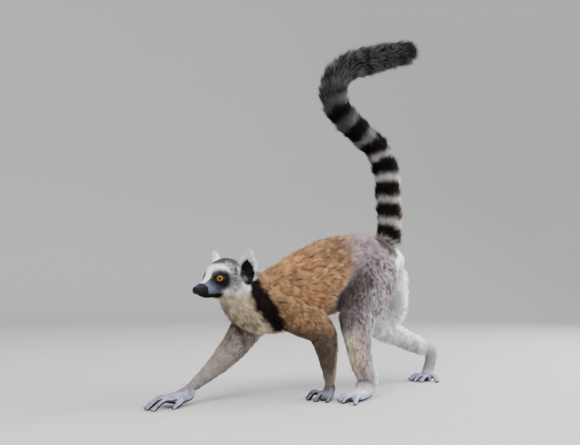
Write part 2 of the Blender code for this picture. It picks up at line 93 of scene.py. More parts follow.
SHANK_LEFT = (
    (6.6, -5.4, 14.0, 2.7, 3.5), (6.5, -5.5, 11.2, 2.4, 2.85), (6.8, -5.5, 8.6, 2.0, 2.45),
    (7.4, -5.4, 6.1, 1.85, 2.2), (8.2, -5.3, 4.2, 1.75, 2.05), (9.0, -5.2, 2.6, 1.6, 1.9),
)
THIGH_RIGHT = (
    (13.2, 2.4, 25.0, 2.8, 4.0), (15.1, 3.4, 22.0, 3.4, 5.1), (16.9, 4.2, 18.5, 3.4, 5.2),
    (18.0, 4.8, 15.0, 3.1, 4.5), (18.8, 5.1, 12.2, 2.7, 3.3),
)
RUMP_FRINGE = (
    (17.4, 0.3, 25.4, 2.0, 1.9), (19.0, 0.9, 22.9, 2.5, 2.2), (20.1, 1.7, 20.2, 2.7, 2.3),
    (20.7, 2.5, 17.6, 2.7, 2.3), (20.9, 3.2, 15.2, 2.5, 2.1), (20.4, 3.9, 13.4, 2.1, 1.8),
)
SHANK_RIGHT = (
    (17.2, 5.0, 12.6, 2.6, 2.7), (20.4, 4.9, 10.7, 2.4, 2.4), (24.0, 4.5, 9.0, 1.95, 2.0),
    (28.0, 4.0, 7.3, 1.6, 1.75), (30.6, 3.9, 6.4, 1.35, 1.5),
)
ARM_LEFT = (
    (-7.2, -3.0, 15.8, 2.3, 3.2), (-4.0, -3.8, 13.9, 2.4, 3.1), (-0.45, -4.3, 12.0, 2.2, 2.8),
    (0.8, -4.4, 9.6, 1.95, 2.45), (1.3, -4.2, 7.4, 1.7, 2.05), (1.8, -3.8, 5.0, 1.4, 1.6),
    (2.1, -3.4, 3.1, 1.1, 1.2), (2.2, -3.1, 1.9, 1.1, 1.0),
)
ARM_RIGHT = (
    (-7.6, 3.0, 15.6, 2.4, 3.3), (-10.0, 3.3, 12.6, 2.4, 3.1), (-12.3, 3.3, 9.4, 2.2, 2.7),
    (-14.6, 3.3, 7.0, 1.9, 2.25), (-17.2, 3.3, 4.8, 1.5, 1.65), (-19.6, 3.3, 3.0, 1.15, 1.2),
    (-21.2, 3.2, 2.1, 1.1, 0.95),
)
# each hand and foot: its block, then its fingers or toes
HAND_LEFT = (
    ((2.3, -3.1, 2.1, 1.05, 0.95), (1.9, -2.9, 1.05, 1.35, 0.95), (1.2, -2.5, 0.78, 1.5, 0.8)),
    ((1.3, -1.4, 1.0, 0.42, 0.42), (0.7, -0.3, 0.9, 0.38, 0.4), (0.4, 0.7, 0.26, 0.36, 0.38)),
    ((1.0, -1.9, 1.2, 0.44, 0.44), (0.1, -1.0, 1.3, 0.4, 0.42), (-0.5, -0.3, 0.26, 0.36, 0.38)),
    ((0.9, -2.5, 1.2, 0.44, 0.44), (-0.2, -2.2, 1.4, 0.4, 0.42), (-1.2, -1.9, 0.26, 0.36, 0.38)),
    ((1.1, -3.1, 1.2, 0.42, 0.42), (0.1, -3.4, 1.2, 0.4, 0.42), (-0.8, -3.6, 0.26, 0.36, 0.38)),
    ((1.9, -3.6, 0.9, 0.45, 0.45), (1.4, -4.4, 0.8, 0.4, 0.42), (0.7, -4.85, 0.26, 0.36, 0.38)),
)
HAND_RIGHT = (
    ((-20.4, 3.2, 1.9, 1.1, 1.15), (-21.8, 3.1, 1.5, 1.3, 1.1), (-23.6, 2.9, 1.45, 1.55, 0.75)),
    ((-23.2, 1.8, 1.5, 0.42, 0.45), (-24.8, 1.4, 1.4, 0.4, 0.42), (-26.3, 1.0, 0.26, 0.36, 0.38)),
    ((-23.4, 2.5, 1.6, 0.42, 0.45), (-25.3, 2.3, 1.6, 0.4, 0.42), (-27.0, 2.2, 0.26, 0.36, 0.38)),
    ((-23.4, 3.3, 1.6, 0.42, 0.45), (-25.2, 3.5, 1.6, 0.4, 0.42), (-26.9, 3.7, 0.26, 0.36, 0.38)),
    ((-23.0, 4.0, 1.5, 0.42, 0.45), (-24.4, 4.6, 1.4, 0.4, 0.42), (-25.7, 5.2, 0.26, 0.36, 0.38)),
    ((-21.3, 2.6, 1.3, 0.5, 0.5), (-22.2, 1.7, 0.8, 0.45, 0.48), (-23.2, 1.1, 0.26, 0.4, 0.38)),
)
FOOT_LEFT = (
    ((8.4, -5.2, 1.45, 1.35, 1.2), (6.7, -5.7, 1.1, 1.45, 1.1), (5.1, -6.1, 0.9, 1.6, 0.92)),
    ((5.2, -4.9, 0.95, 0.5, 0.5), (4.2, -4.75, 1.05, 0.45, 0.48), (3.2, -4.6, 0.3, 0.4, 0.4)),
    ((5.2, -5.6, 1.05, 0.5, 0.5), (4.0, -5.5, 1.15, 0.45, 0.48), (2.85, -5.45, 0.3, 0.4, 0.4)),
    ((5.2, -6.3, 1.05, 0.5, 0.5), (3.9, -6.5, 1.15, 0.45, 0.48), (2.75, -6.6, 0.3, 0.4, 0.4)),
    ((5.6, -7.0, 0.95, 0.5, 0.5), (4.6, -7.8, 0.95, 0.48, 0.5), (3.7, -8.6, 0.3, 0.42, 0.4)),
    ((6.8, -4.9, 0.85, 0.62, 0.58), (5.9, -3.6, 0.65, 0.56, 0.55), (5.0, -2.8, 0.34, 0.48, 0.44)),
    ((9.6, -5.0, 2.43, 1.3, 1.3), (8.9, -5.1, 2.33, 1.45, 1.55), (7.6, -5.4, 2.13, 1.5, 1.35)),
)
FOOT_RIGHT = (
    ((29.6, 4.0, 6.9, 1.2, 1.35), (31.0, 4.1, 6.2, 1.3, 1.3), (31.4, 4.5, 4.4, 1.25, 1.1),
     (31.2, 5.0, 2.6, 1.35, 1.0), (30.7, 5.3, 0.85, 1.55, 0.95)),
    ((30.6, 4.5, 0.9, 0.5, 0.55), (29.3, 4.1, 1.1, 0.45, 0.5), (28.0, 3.7, 0.3, 0.4, 0.4)),
    ((30.5, 5.2, 0.9, 0.5, 0.55), (28.9, 5.1, 1.15, 0.45, 0.5), (27.4, 5.0, 0.3, 0.4, 0.4)),
    ((30.5, 5.9, 0.9, 0.5, 0.55), (28.9, 6.1, 1.15, 0.45, 0.5), (27.5, 6.3, 0.3, 0.4, 0.4)),
    ((30.6, 6.5, 0.9, 0.5, 0.55), (29.4, 7.0, 1.05, 0.45, 0.48), (28.3, 7.6, 0.3, 0.4, 0.4)),
    ((31.1, 4.6, 1.6, 0.6, 0.6), (31.2, 3.3, 1.1, 0.55, 0.55), (30.9, 2.3, 0.36, 0.5, 0.46)),
)
PAWS = {"hand_left": HAND_LEFT, "hand_right": HAND_RIGHT, "foot_left": FOOT_LEFT, "foot_right": FOOT_RIGHT}
# back from the nose tip, top, bottom, half width
HEAD = (
    (0.0, 0.12, -0.75, 0.5), (0.35, 0.3, -1.2, 0.82), (1.0, 0.5, -1.6, 1.02), (1.8, 0.76, -1.85, 1.15),
    (2.5, 1.05, -1.95, 1.25), (3.1, 1.75, -2.0, 1.52), (3.8, 2.75, -2.05, 2.0), (4.6, 3.3, -2.1, 2.48),
    (5.6, 3.85, -2.15, 2.8), (6.8, 4.15, -2.1, 2.9), (8.0, 4.0, -1.9, 2.75), (9.0, 3.45, -1.4, 2.35),
    (9.8, 2.6, -0.6, 1.7),
)
# the ear: height over its root, half width, how far its middle is hollowed
EAR = (
    (-1.4, 0.9, 0.5), (0.2, 1.46, 0.9), (1.4, 1.58, 0.85), (2.3, 1.18, 0.45), (3.1, 0.6, 0.12),
    (3.75, 0.12, 0.0),
)
EAR_ROOT = (8.85, 2.9, 1.0)
EAR_UP = (0.03, 0.27, 0.94)
EAR_FACES = {-1: (-0.62, -0.72, 0.0), 1: (-0.20, 0.98, 0.0)}  # the way each ear's hollow looks
EAR_WALL = 0.26

# The coat on each part: how deep it lies over the skin, length of a tuft, its width, tufts on a square
# centimetre of skin, size of a lock, how strongly tufts close up in a lock, how far the lie wanders (degrees)
Coat = namedtuple("Coat", "depth length width count lock pull wander")
COATS = {
    "trunk": Coat(0.90, 1.50, 0.078, 75, 0.60, 0.60, 26),
    "neck": Coat(0.65, 1.05, 0.054, 150, 0.5, 0.45, 18),
    "head": Coat(0.22, 0.46, 0.042, 260, 0.3, 0.30, 14),
    "ear": Coat(0.12, 0.42, 0.036, 270, 0.3, 0.30, 10),
    "tail": Coat(1.50, 2.6, 0.095, 100, 0.8, 0.35, 14),
    "thigh": Coat(0.80, 1.15, 0.072, 80, 0.50, 0.55, 26),
    "fringe": Coat(1.10, 2.2, 0.095, 60, 0.8, 0.45, 16),
    "shank": Coat(0.50, 0.95, 0.066, 85, 0.50, 0.35, 16),
    "arm": Coat(0.48, 0.85, 0.060, 100, 0.50, 0.35, 16),
    "hand": Coat(0.07, 0.28, 0.045, 80, 0.3, 0.25, 10),
    "foot": Coat(0.08, 0.36, 0.050, 75, 0.3, 0.25, 12),
}

# the skin: cell of the grid that joins its surfaces, and its triangles before the snout is refined
SKIN_GRAIN = 0.13
SKIN_TRIANGLES = 150_000
TRUNK_SPLIT = 2.0  # x at which the trunk's coat is parted in two
TAIL_SPLIT = 30.0  # how far along the tail its coat is parted

# ---------------------------------------------------------------- the stage, in metres and watts
CAMERA_PLACE = (-0.43556, -0.76359, 0.167)
CAMERA_LOOK = (0.430, 0.889, 0.160)
SENSOR = 36.0
FOCAL_SHARE = 480 / 580  # focal length over the sensor's width
SKY = (0.90, 0.95, 1.0, 1.0)
SKY_STRENGTH = 1.5
# each lamp: where it stands, where it points, its size and colour
LAMPS = {
    "key": ((-1.3, -1.6, 2.3), (0, 0, 0.3), 2.0, (1.0, 0.96, 0.9)),
    "fill": ((2.1, -0.9, 1.3), (0.1, 0, 0.25), 2.0, (0.94, 0.97, 1.0)),
}


def mix(a, b, t):
    """From a to b as t goes from 0 to 1."""
    return a + (b - a) * t


def ramp(value, low, high):
    """0 below low, 1 above high and a smooth S between (3t^2 - 2t^3)."""
    t = np.clip((value - low) / (high - low), 0, 1)
    return t * t * (3 - 2 * t)


def unit(v):
    """Vectors of length 1 in the same directions."""
    return v / np.maximum(np.linalg.norm(v, axis=-1, keepdims=True), 1e-9)


def dot(a, b):
    """Products of the rows of a and b, as a column."""
    return (a * b).sum(-1, keepdims=True)


def linear(red, green, blue):
    """Linear colour of the display values 0 to 255 (the usual 2.4 power with its straight foot)."""
    c = np.array((red, green, blue)) / 255
    return tuple(np.where(c <= 0.04045, c / 12.92, ((c + 0.055) / 1.055) ** 2.4).round(4).tolist())


# ---------------------------------------------------------------- shapes
def smooth_path(table, between=4):
    """Catmull-Rom curve through the rows: each stretch is a cubic in t whose slope at a row is half of the
    step between the rows beside it."""
    rows = np.array(table, float)
    rows = np.vstack([2 * rows[0] - rows[1], rows, 2 * rows[-1] - rows[-2]])
    a, b, c, d = (rows[i:len(rows) - 3 + i, None] for i in range(4))
    t = (np.arange(between) / between)[None, :, None]
    curve = 0.5 * (2 * b + (c - a) * t + (2 * a - 5 * b + 4 * c - d) * t**2 + (3 * b - a - 3 * c + d) * t**3)
    return np.vstack([curve.reshape(-1, rows.shape[1]), rows[-2]])


def head_axes():
    """The head's own axes (back, right, up) as the rows of a matrix, in the body's axes."""
    c, s = math.cos(HEAD_TURN), math.sin(HEAD_TURN)
    n, m = math.cos(HEAD_NOD), math.sin(HEAD_NOD)
    turn = np.array(((c, -s, 0), (s, c, 0), (0, 0, 1)))
    nod = np.array(((n, 0, m), (0, 1, 0), (-m, 0, n)))
    return (turn @ nod).T


def from_head(points):
    """Points in the head's own axes, moved into the body's."""
    return np.asarray(points) @ head_axes() + NOSE_TIP


def to_head(points):
    """Points in the body's axes, moved into the head's own."""
    return (points - NOSE_TIP) @ head_axes().T


def ear_axes(way):
    """The ear's root and its directions up, across and outwards, in the head's own axes."""
    side = np.array((1, way, 1))
    up = unit(np.array(EAR_UP) * side)
    out = np.array(EAR_FACES[way])
    out = unit(out - up * (out @ up))
    return np.array(EAR_ROOT) * side, up, np.cross(up, out), out


# a length of the body: its middle line, and at each of its points three directions, two half widths and how
# far along it is
Tube = namedtuple("Tube", "part region middle along across upward half reach")


def tube_along(part, region, path, side):
    """A tube's frame at each point of its path: along it, across it (the side direction made square to the
    path) and upward (the cross product of those two)."""
    middle, half = path[:, :3], path[:, 3:5]
    along = unit(np.gradient(middle, axis=0))
    across = unit(np.array(side) - along * (along @ np.array(side))[:, None])
    steps = np.linalg.norm(np.diff(middle, axis=0), axis=1)
    reach = np.concatenate([[0], np.cumsum(steps)])
    return Tube(part, region, middle, along, across, np.cross(along, across), half, reach)


def all_tubes():
    """Every tube of the body, sized to the skin: each half width less the coat's depth, or less 45% of itself
    where the limb is thin. The tail's bare stem is 45% of its coat's width."""
    limbs = {"trunk": TRUNK, "neck": NECK, "tail": TAIL, "thigh_left": THIGH_LEFT, "thigh_right": THIGH_RIGHT,
             "fringe": RUMP_FRINGE, "shank_left": SHANK_LEFT, "shank_right": SHANK_RIGHT,
             "arm_left": ARM_LEFT, "arm_right": ARM_RIGHT}
    tables = list(limbs.items())
    for part, group in PAWS.items():
        tables += [(part, np.array(table) - (0, 0, SINK, 0, 0)) for table in group]
    tubes = []
    for part, table in tables:
        region = part.split("_")[0]
        path = smooth_path(table)
        half = path[:, 3:5]
        if region == "tail":
            path[:, 3:5] = half * 0.45
        else:
            path[:, 3:5] = half - np.minimum(COATS[region].depth, 0.45 * half)
        tubes.append(tube_along(part, region, path, (0.0, 1.0, 0.0)))
    rows = smooth_path(HEAD, 3)
    depth = head_depth(rows[:, 0])
    top, bottom, half = rows[:, 1] - depth, rows[:, 2] + depth, rows[:, 3] - depth
    middle = from_head(np.stack([rows[:, 0], 0 * half, (top + bottom) / 2], 1))
    path = np.column_stack([middle, half, (top - bottom) / 2])
    tubes.append(tube_along("head", "head", path, head_axes()[1]))
    for part, way in (("ear_left", -1), ("ear_right", 1)):
        root, up, across, out = ear_axes(way)
        rows = smooth_path(EAR, 3)
        middle = from_head(root + np.outer(rows[:, 0], up) - np.outer(rows[:, 2] / 2, out))
        path = np.column_stack([middle, rows[:, 1], rows[:, 2] / 2 + EAR_WALL])
        tubes.append(tube_along(part, "ear", path, across @ head_axes()))
    return tubes


def head_depth(back):
    """Depth of the coat on the head: thin on the snout, thicker from the cheeks backwards."""
    return 0.07 + 0.20 * ramp(back, 2.5, 7.0)


def grid_faces(rows, columns, closed=True):
    """Quads between neighbouring points of a rows by columns grid, joined round if it is closed."""
    i, j = np.meshgrid(np.arange(rows - 1), np.arange(columns if closed else columns - 1), indexing="ij")
    k = (j + 1) % columns
    here, after = i * columns, (i + 1) * columns
    return np.stack([here + j, here + k, after + k, after + j], -1).reshape(-1, 4)


def closed_tube(rings, start, end):
    """Points and faces of a stack of rings, with a fan from each end ring to its own tip."""
    rows, columns = rings.shape[:2]
    points = np.vstack([rings.reshape(-1, 3), [start, end]])
    j = np.arange(columns)
    k = (j + 1) % columns
    last = rows * columns
    fan = np.stack([np.full(columns, last), k, j], 1)
    cap = np.stack([np.full(columns, last + 1), last - columns + j, last - columns + k], 1)
    return points, [grid_faces(rows, columns), np.vstack([fan, cap])]


def tube_surface(tube, around=24):
    """The tube as a closed surface: middle + half width * cos(a) * across + half depth * sin(a) * upward,
    with its ends rounded by rings that shrink as the cosine of 20, 45 and 70 degrees."""
    lean = np.radians([70, 45, 20])
    count = len(tube.middle)
    pick = np.concatenate([np.zeros(3, int), np.arange(count), np.full(3, count - 1)])
    push = np.concatenate([-np.sin(lean), np.zeros(count), np.sin(lean[::-1])])
    size = np.concatenate([np.cos(lean), np.ones(count), np.cos(lean[::-1])])
    least = tube.half.min(1)
    centre = tube.middle[pick] + tube.along[pick] * (push * least[pick])[:, None]
    a = np.linspace(0, 2 * math.pi, around, endpoint=False)
    side = tube.across[pick, None] * np.cos(a)[:, None] * tube.half[pick, 0][:, None, None]
    rise = tube.upward[pick, None] * np.sin(a)[:, None] * tube.half[pick, 1][:, None, None]
    rings = centre[:, None] + (side + rise) * size[:, None, None]
    start = tube.middle[0] - tube.along[0] * least[0]
    end = tube.middle[-1] + tube.along[-1] * least[-1]
    return closed_tube(rings, start, end)


def head_surface():
    """The head: each section is an egg between its top and its bottom, y = half width * cos(a)^0.92."""
    rows = smooth_path(HEAD, 4)
    depth = head_depth(rows[:, 0])[:, None]
    a = np.linspace(0, 2 * math.pi, 48, endpoint=False)
    top, bottom, half = rows[:, 1:2] - depth, rows[:, 2:3] + depth, rows[:, 3:4] - depth
    y = half * np.sign(np.cos(a)) * np.abs(np.cos(a)) ** 0.92
    z = (top + bottom) / 2 + (top - bottom) / 2 * np.sin(a)
    rings = np.stack([rows[:, :1] + 0 * a, y, z], -1)
    ends = [(x, 0, (top[i, 0] + bottom[i, 0]) / 2) for x, i in ((-0.05, 0), (rows[-1, 0] + 0.6, -1))]
    points, faces = closed_tube(rings, *ends)
    return from_head(points), faces


def ear_surface(way):
    """The ear: a leaf of points root + up * h + across * u * w, hollowed by deep * (1 - u^2), with an even
    wall between its two sheets and a strip round its edge."""
    root, up, across, out = ear_axes(way)
    rows = smooth_path(EAR, 5)
    u = np.linspace(-1, 1, 21)
    h, w, deep = (rows[:, i][:, None, None] for i in range(3))
    leaf = root + up * h + across * u[:, None] * w - out * deep * (1 - u**2)[:, None]
    sheets = np.stack([leaf + out * EAR_WALL / 2, leaf - out * EAR_WALL / 2])
    n, m = leaf.shape[:2]
    front = grid_faces(n, m, closed=False)
    foot, tip = np.arange(m), (n - 1) * m + np.arange(m - 2, -1, -1)
    rim = np.concatenate([foot, np.arange(2, n + 1) * m - 1, tip, np.arange(n - 2, 0, -1) * m])
    after = np.roll(rim, -1)
    strip = np.stack([after, rim, rim + n * m, after + n * m], 1)
    return from_head(sheets.reshape(-1, 3)), [np.vstack([front, front[:, ::-1] + n * m, strip])]


# ---------------------------------------------------------------- meshes
def new_mesh(name, points, groups):
    """A smooth mesh object of centimetre points and groups of faces, each group with its own number of
    corners."""
    mesh = bpy.data.meshes.new(name)
    corners = np.concatenate([g.reshape(-1) for g in groups]).astype(np.int32)
    sizes = np.concatenate([np.full(len(g), g.shape[1]) for g in groups]).astype(np.int32)
    starts = np.concatenate([[0], np.cumsum(sizes)[:-1]]).astype(np.int32)
    mesh.vertices.add(len(points))
    mesh.vertices.foreach_set("co", in_metres(points).astype(np.float32).ravel())
    mesh.loops.add(len(corners))
    mesh.loops.foreach_set("vertex_index", corners)
    mesh.polygons.add(len(sizes))
    mesh.polygons.foreach_set("loop_start", starts)
    mesh.update(calc_edges=True)
    mesh.polygons.foreach_set("use_smooth", np.ones(len(sizes), bool))
    obj = bpy.data.objects.new(name, mesh)
    bpy.context.scene.collection.objects.link(obj)
    return obj


def joined(surfaces):
    """Several surfaces as one list of points and of face groups."""
    points, groups, base = [], [], 0
    for part, faces in surfaces:
        points.append(part)
        groups += [f + base for f in faces]
        base += len(part)
    return np.vstack(points), groups


def row_shift():
    """From the animal's own axes to the frame, in metres: both hold the middle of the left eye."""
    low, high = (np.array(v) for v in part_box("eye_left"))
    return (low + high) / 2 - eye_middle(-1) * CM


def eye_middle(way):
    """The middle of an eye, in the body's axes."""
    return from_head(np.array(EYE_CENTRE) * (1, way, 1))


def in_metres(points):
    """Centimetre points of the animal as the frame's metres."""
    return np.asarray(points) * CM + row_shift()


def in_centimetres(points):
    """The frame's metres as centimetre points of the animal."""
    return (points - row_shift()) / CM


def read_mesh(mesh):
    """Points, normals and triangles of a mesh, in the animal's centimetres."""
    mesh.calc_loop_triangles()
    points = np.empty(len(mesh.vertices) * 3, np.float32)
    mesh.vertices.foreach_get("co", points)
    normals = np.empty(len(mesh.vertices) * 3, np.float32)
    mesh.vertex_normals.foreach_get("vector", normals)
    triangles = np.empty(len(mesh.loop_triangles) * 3, np.int32)
    mesh.loop_triangles.foreach_get("vertices", triangles)
    return in_centimetres(points.reshape(-1, 3)), normals.reshape(-1, 3), triangles.reshape(-1, 3)


def give(mesh, name, kind, values):
    """Stores one value for each point of the mesh as a named attribute."""
    field = {"FLOAT_COLOR": "color", "FLOAT": "value"}[kind]
    attribute = mesh.attributes.new(name, kind, "POINT")
    attribute.data.foreach_set(field, np.ascontiguousarray(values, np.float32).ravel())


def applied(obj):
    """Replaces the object's mesh by what its modifiers make of it."""
    graph = bpy.context.evaluated_depsgraph_get()
    mesh = bpy.data.meshes.new_from_object(obj.evaluated_get(graph))
    obj.modifiers.clear()
    obj.data = mesh
    mesh.name = obj.name


# ---------------------------------------------------------------- wandering values
def scatter(cells, seed):
    """Three even random numbers for each whole-number cell, always the same for the same cell and seed: the
    fractional part of a large sine of a weighted sum."""
    c = cells.astype(np.float64)
    base = c @ np.array((127.1, 311.7, 74.7)) + seed * 53.3
    spread = np.sin(np.stack([base, base * 1.31 + 17.3, base * 1.73 + 41.9], -1)) * 43758.5453
    return spread - np.floor(spread)


def drift(points, size, seed):
    """Smooth noise from -1 to 1 over cells of the given size: random corner values, mixed with S curves."""
    p = points / size
    cell = np.floor(p)
    t = p - cell
    t = t * t * (3 - 2 * t)
    total = np.zeros(len(points))
    for corner in np.ndindex(2, 2, 2):
        weight = np.prod(np.where(corner, t, 1 - t), axis=1)
        total += weight * scatter(cell + corner, seed)[:, 0]
    return total * 2 - 1


def nearest_lock(points, size, seed):
    """The middle of the lock that each point belongs to, and three random numbers of that lock: the nearest
    of one random point in each cell of the given size."""
    size = np.broadcast_to(np.asarray(size, float), (len(points),))[:, None]
    p = points / size
    cell = np.floor(p)
    best = np.full(len(points), 1e9)
    middle, chance = np.zeros_like(p), np.zeros_like(p)
    for step in np.ndindex(3, 3, 3):
        other = cell + np.array(step) - 1
        spot = other + scatter(other, seed)
        away = ((spot - p) ** 2).sum(1)
        closer = away < best
        best[closer] = away[closer]
        middle[closer] = spot[closer]
        chance[closer] = scatter(other[closer], seed + 7)
    return middle * size, chance


# ---------------------------------------------------------------- where a point is on the body
# for each point and tube its share, how far along and the angle round; each part's share; its main tube
Place = namedtuple("Place", "share reach angle share_of tube")


def place_on_body(points, tubes):
    """Where each point lies on each tube: how far out it is in half widths, how far along in centimetres and
    its angle round the tube (0 at the right side, a quarter turn up). Its share in a tube falls as
    exp(-7 * (how far out - the least of these))."""
    out = np.empty((len(points), len(tubes)), np.float32)
    reach, angle = np.empty_like(out), np.empty_like(out)
    for n, tube in enumerate(tubes):
        square = (tube.middle**2).sum(1) - 2 * points @ tube.middle.T
        nearest = square.argmin(1)
        step = points - tube.middle[nearest]
        forward = (step * tube.along[nearest]).sum(1)
        a = (step * tube.across[nearest]).sum(1) / tube.half[nearest, 0]
        b = (step * tube.upward[nearest]).sum(1) / tube.half[nearest, 1]
        gap = tube.reach[-1] / (len(tube.reach) - 1)
        beyond = np.maximum(np.abs(forward) - gap, 0) / tube.half[nearest].mean(1)
        out[:, n] = np.sqrt(a**2 + b**2 + beyond**2)
        reach[:, n] = np.clip(tube.reach[nearest] + np.clip(forward, -gap, gap), 0, tube.reach[-1])
        angle[:, n] = np.arctan2(b, a)
    share = np.exp(-7 * (out - out.min(1, keepdims=True)))
    share /= share.sum(1, keepdims=True)
    regions = {}
    for n, tube in enumerate(tubes):
        regions[tube.part] = regions.get(tube.part, 0) + share[:, n]
    return Place(share, reach, angle, regions, share.argmax(1))


def along_tail(place, tubes):
    """How far along the tail each point is, and its angle round it."""
    n = [tube.part for tube in tubes].index("tail")
    return place.reach[:, n], place.angle[:, n]


def lie_of_coat(points, normals, place, tubes):
    """The way the hair lies: each tube's own direction from the nose and shoulders to the tail and toes,
    mixed by the point's shares and laid flat on the skin."""
    way = np.zeros_like(points)
    for n, tube in enumerate(tubes):
        spot = np.searchsorted(tube.reach, place.reach[:, n]).clip(0, len(tube.reach) - 1)
        along = tube.along[spot]
        if tube.region in ("thigh", "trunk"):
            along = along + (0.25, 0, -0.12)
        if tube.region == "fringe":
            along = along * 0.6 + (0.75, 0, 0)
        way += along * place.share[:, n:n + 1]
    x, _, z = points.T
    way += (0.9, 0, 0) * (ramp(x, 15.6, 17.0) * ramp(z, 20, 23) * ramp(z, 30.5, 28.5))[:, None]
    way -= normals * dot(way, normals)
    return unit(way)


# ---------------------------------------------------------------- markings and painted shade
def line_height(across, points):
    """The height of a bent line through the given points, over each value of across."""
    return np.interp(across, *np.array(points).T)


def inside(u, v, corners):
    """Distance inside a closed outline (negative outside): the least distance to its edges, with the sign
    of an even-odd count of the edges that a line to the right crosses."""
    best, odd = np.full(len(u), 1e9), np.zeros(len(u), bool)
    for (a, b), (c, d) in zip(corners, corners[1:] + corners[:1]):
        t = np.clip(((u - a) * (c - a) + (v - b) * (d - b)) / ((c - a) ** 2 + (d - b) ** 2), 0, 1)
        best = np.minimum(best, np.hypot(u - a - t * (c - a), v - b - t * (d - b)))
        crosses = ((b > v) != (d > v)) & (u < (c - a) * (v - b) / (d - b + 1e-12) + a)
        odd ^= crosses
    return np.where(odd, best, -best)


# outlines and edges on the head, in its own axes (back from the nose tip, up); the muzzle's is (up, back)
EYE_PATCH = [(2.55, 1.05), (3.3, 1.9), (4.2, 2.28), (4.95, 2.05), (5.45, 1.35), (5.5, 0.5), (5.25, -0.42),
             (4.45, -0.8), (3.4, -0.4), (2.7, 0.3)]
MUZZLE_EDGE = [(-2.5, 2.5), (-1.1, 2.05), (-0.1, 1.9), (0.74, 1.42), (2.0, 1.25)]
LIP = [(0.0, -0.78), (0.45, -0.9), (1.2, -1.06), (2.2, -1.26), (3.1, -1.38), (3.9, -1.36), (4.7, -1.1)]
CAP_EDGE = [(3.2, 3.6), (4.6, 3.25), (5.0, 2.96), (6.25, 2.75), (7.14, 2.3), (8.5, 1.8), (10.0, 1.2)]
# half width of the ears' hollow, painted dark as shade deep in it, at heights over the ear's root, and the
# paler bare skin low in it
EAR_HOLLOW = [(-1.7, 0.1), (-1.2, 0.9), (-0.2, 1.45), (0.6, 1.4), (1.4, 1.0), (2.1, 0.5), (2.9, -0.3)]
BARE_EAR = (8.3, 3.5, 0.75)
# edges on the body (z, x): where the grey rump starts, and where the white ruff ends
RUMP_EDGE = [(12.0, 1.2), (15.9, 2.5), (17.9, 2.8), (19.4, 4.5), (21.0, 5.6), (22.9, 6.6), (25.5, 6.6),
             (28.4, 7.6)]
RUFF_EDGE = [(14.0, -14.6), (17.0, -13.2), (18.8, -12.3), (19.5, -11.8), (20.3, -11.1), (21.6, -10.9),
             (23.0, -12.6)]
# the black stripe down the neck and shoulder, painted shade in the parting between the ruff and the shoulder:
# its middle line, and half its width
STRIPE = [(-11.2, -3.5, 19.6, 0.35), (-11.6, -3.8, 18.6, 0.9), (-11.2, -4.1, 17.6, 1.3),
          (-10.5, -4.4, 16.3, 1.4), (-9.5, -4.4, 15.0, 1.25), (-8.6, -4.4, 13.9, 1.0),
          (-7.2, -3.5, 12.5, 0.65), (-5.8, -2.2, 11.2, 0.3)]
# the tail's black bands: how far along their middles are, and their share of the step between two middles
BANDS = (3.72, 6.2, 10.52, 15.12, 19.68, 24.83, 29.87, 34.82, 38.65, 41.51, 44.46, 48.78, 53.4, 56.91, 60.0)
BLACK_SHARE = 0.78
UPPER_BLACK_SHARE = 0.55
BASE_BAND = ((14.2, 27.0), (16.5, 25.4))  # a slanting dark band under the tail's root, on the rump (x, z)


def paint(base, over, mask):
    """One colour laid over others where the mask is 1."""
    return base + (np.asarray(over) - base) * mask[:, None]


def even(colour, points):
    """The same colour at every point."""
    return np.broadcast_to(colour, points.shape).copy()


def head_colour(points, tint):
    """Colours of the head in its own axes: a white face with a white strip down the nose, black muzzle and
    eye patches with soft grey edges, slate sides of the snout, dark jaw and cap."""
    x, y, z = to_head(points).T
    y = np.abs(y)
    grain = drift(points, 0.35, 3)
    colour = paint(even(tint["white"], points), tint["cream"], ramp(z, -1.1, -1.8) * ramp(x, 3.2, 4.4))
    dusk = np.maximum(ramp(z, -0.5, -1.3), ramp(x, 2.8, 4.2)) * 0.6
    snout = paint(even(tint["snout"], points), tint["cheek"], dusk)
    colour = paint(colour, snout, ramp(x, 4.7, 3.9) * ramp(z, 1.25, 0.75) * ramp(y, 0.30, 0.62))
    colour = paint(colour, tint["cap"], ramp(z - line_height(x, CAP_EDGE) + grain * 0.3, -0.60, 0.70))
    patch = inside(x, z, EYE_PATCH) + grain * 0.10
    cover = ramp(y, 0.50, 0.78) * 0.97
    colour = paint(colour, tint["cheek"], ramp(patch, -0.55, 0.15) * cover)
    colour = paint(colour, tint["patch"], ramp(patch, 0.10, 0.55) * cover)
    under = z - line_height(x, LIP)
    jaw = ramp(under, 0.12, -0.04) * ramp(under, -0.9, -0.5) * ramp(x, 5.0, 4.2)
    colour = paint(colour, tint["black"], jaw)
    muzzle = line_height(z, MUZZLE_EDGE) - x + grain * 0.06
    front = paint(even(tint["black"], points), tint["snout"], ramp(z, -0.3, 0.4) * 0.16)
    return paint(colour, front, ramp(muzzle, -0.16, 0.14))


def cheek_marks(points, colour, tint):
    """Greyer cheeks with dark streaks behind the eye patch, and a darker streak down in front of each ear,
    over the head and the start of the neck."""
    x, y, z = to_head(points).T
    streak = drift(points * (0.8, 0.8, 1.5), 0.26, 4) + 0.4 * drift(points, 0.15, 20)
    sides = ramp(np.abs(y), 0.9, 1.6) * ramp(x, 5.2, 5.9)
    cheek = sides * ramp(x, 7.6, 7.0) * ramp(z, 3.2, 2.6)
    colour = paint(colour, tint["cap"], cheek * ramp(z, -1.4, 0.0) * 0.62)
    colour = paint(colour, tint["cheek"], cheek * ramp(z, -1.9, -1.1) * ramp(streak, -0.70, 0.50) * 0.70)
    middle = mix(6.5, 6.9, ramp(z, 0.8, 2.6))
    band = np.exp(-((x - middle) / 0.45) ** 2) * ramp(z, -0.4, 0.2) * ramp(z, 3.1, 2.5)
    return paint(colour, tint["patch"], sides * band * ramp(streak, -1.1, 0.4) * 0.72)


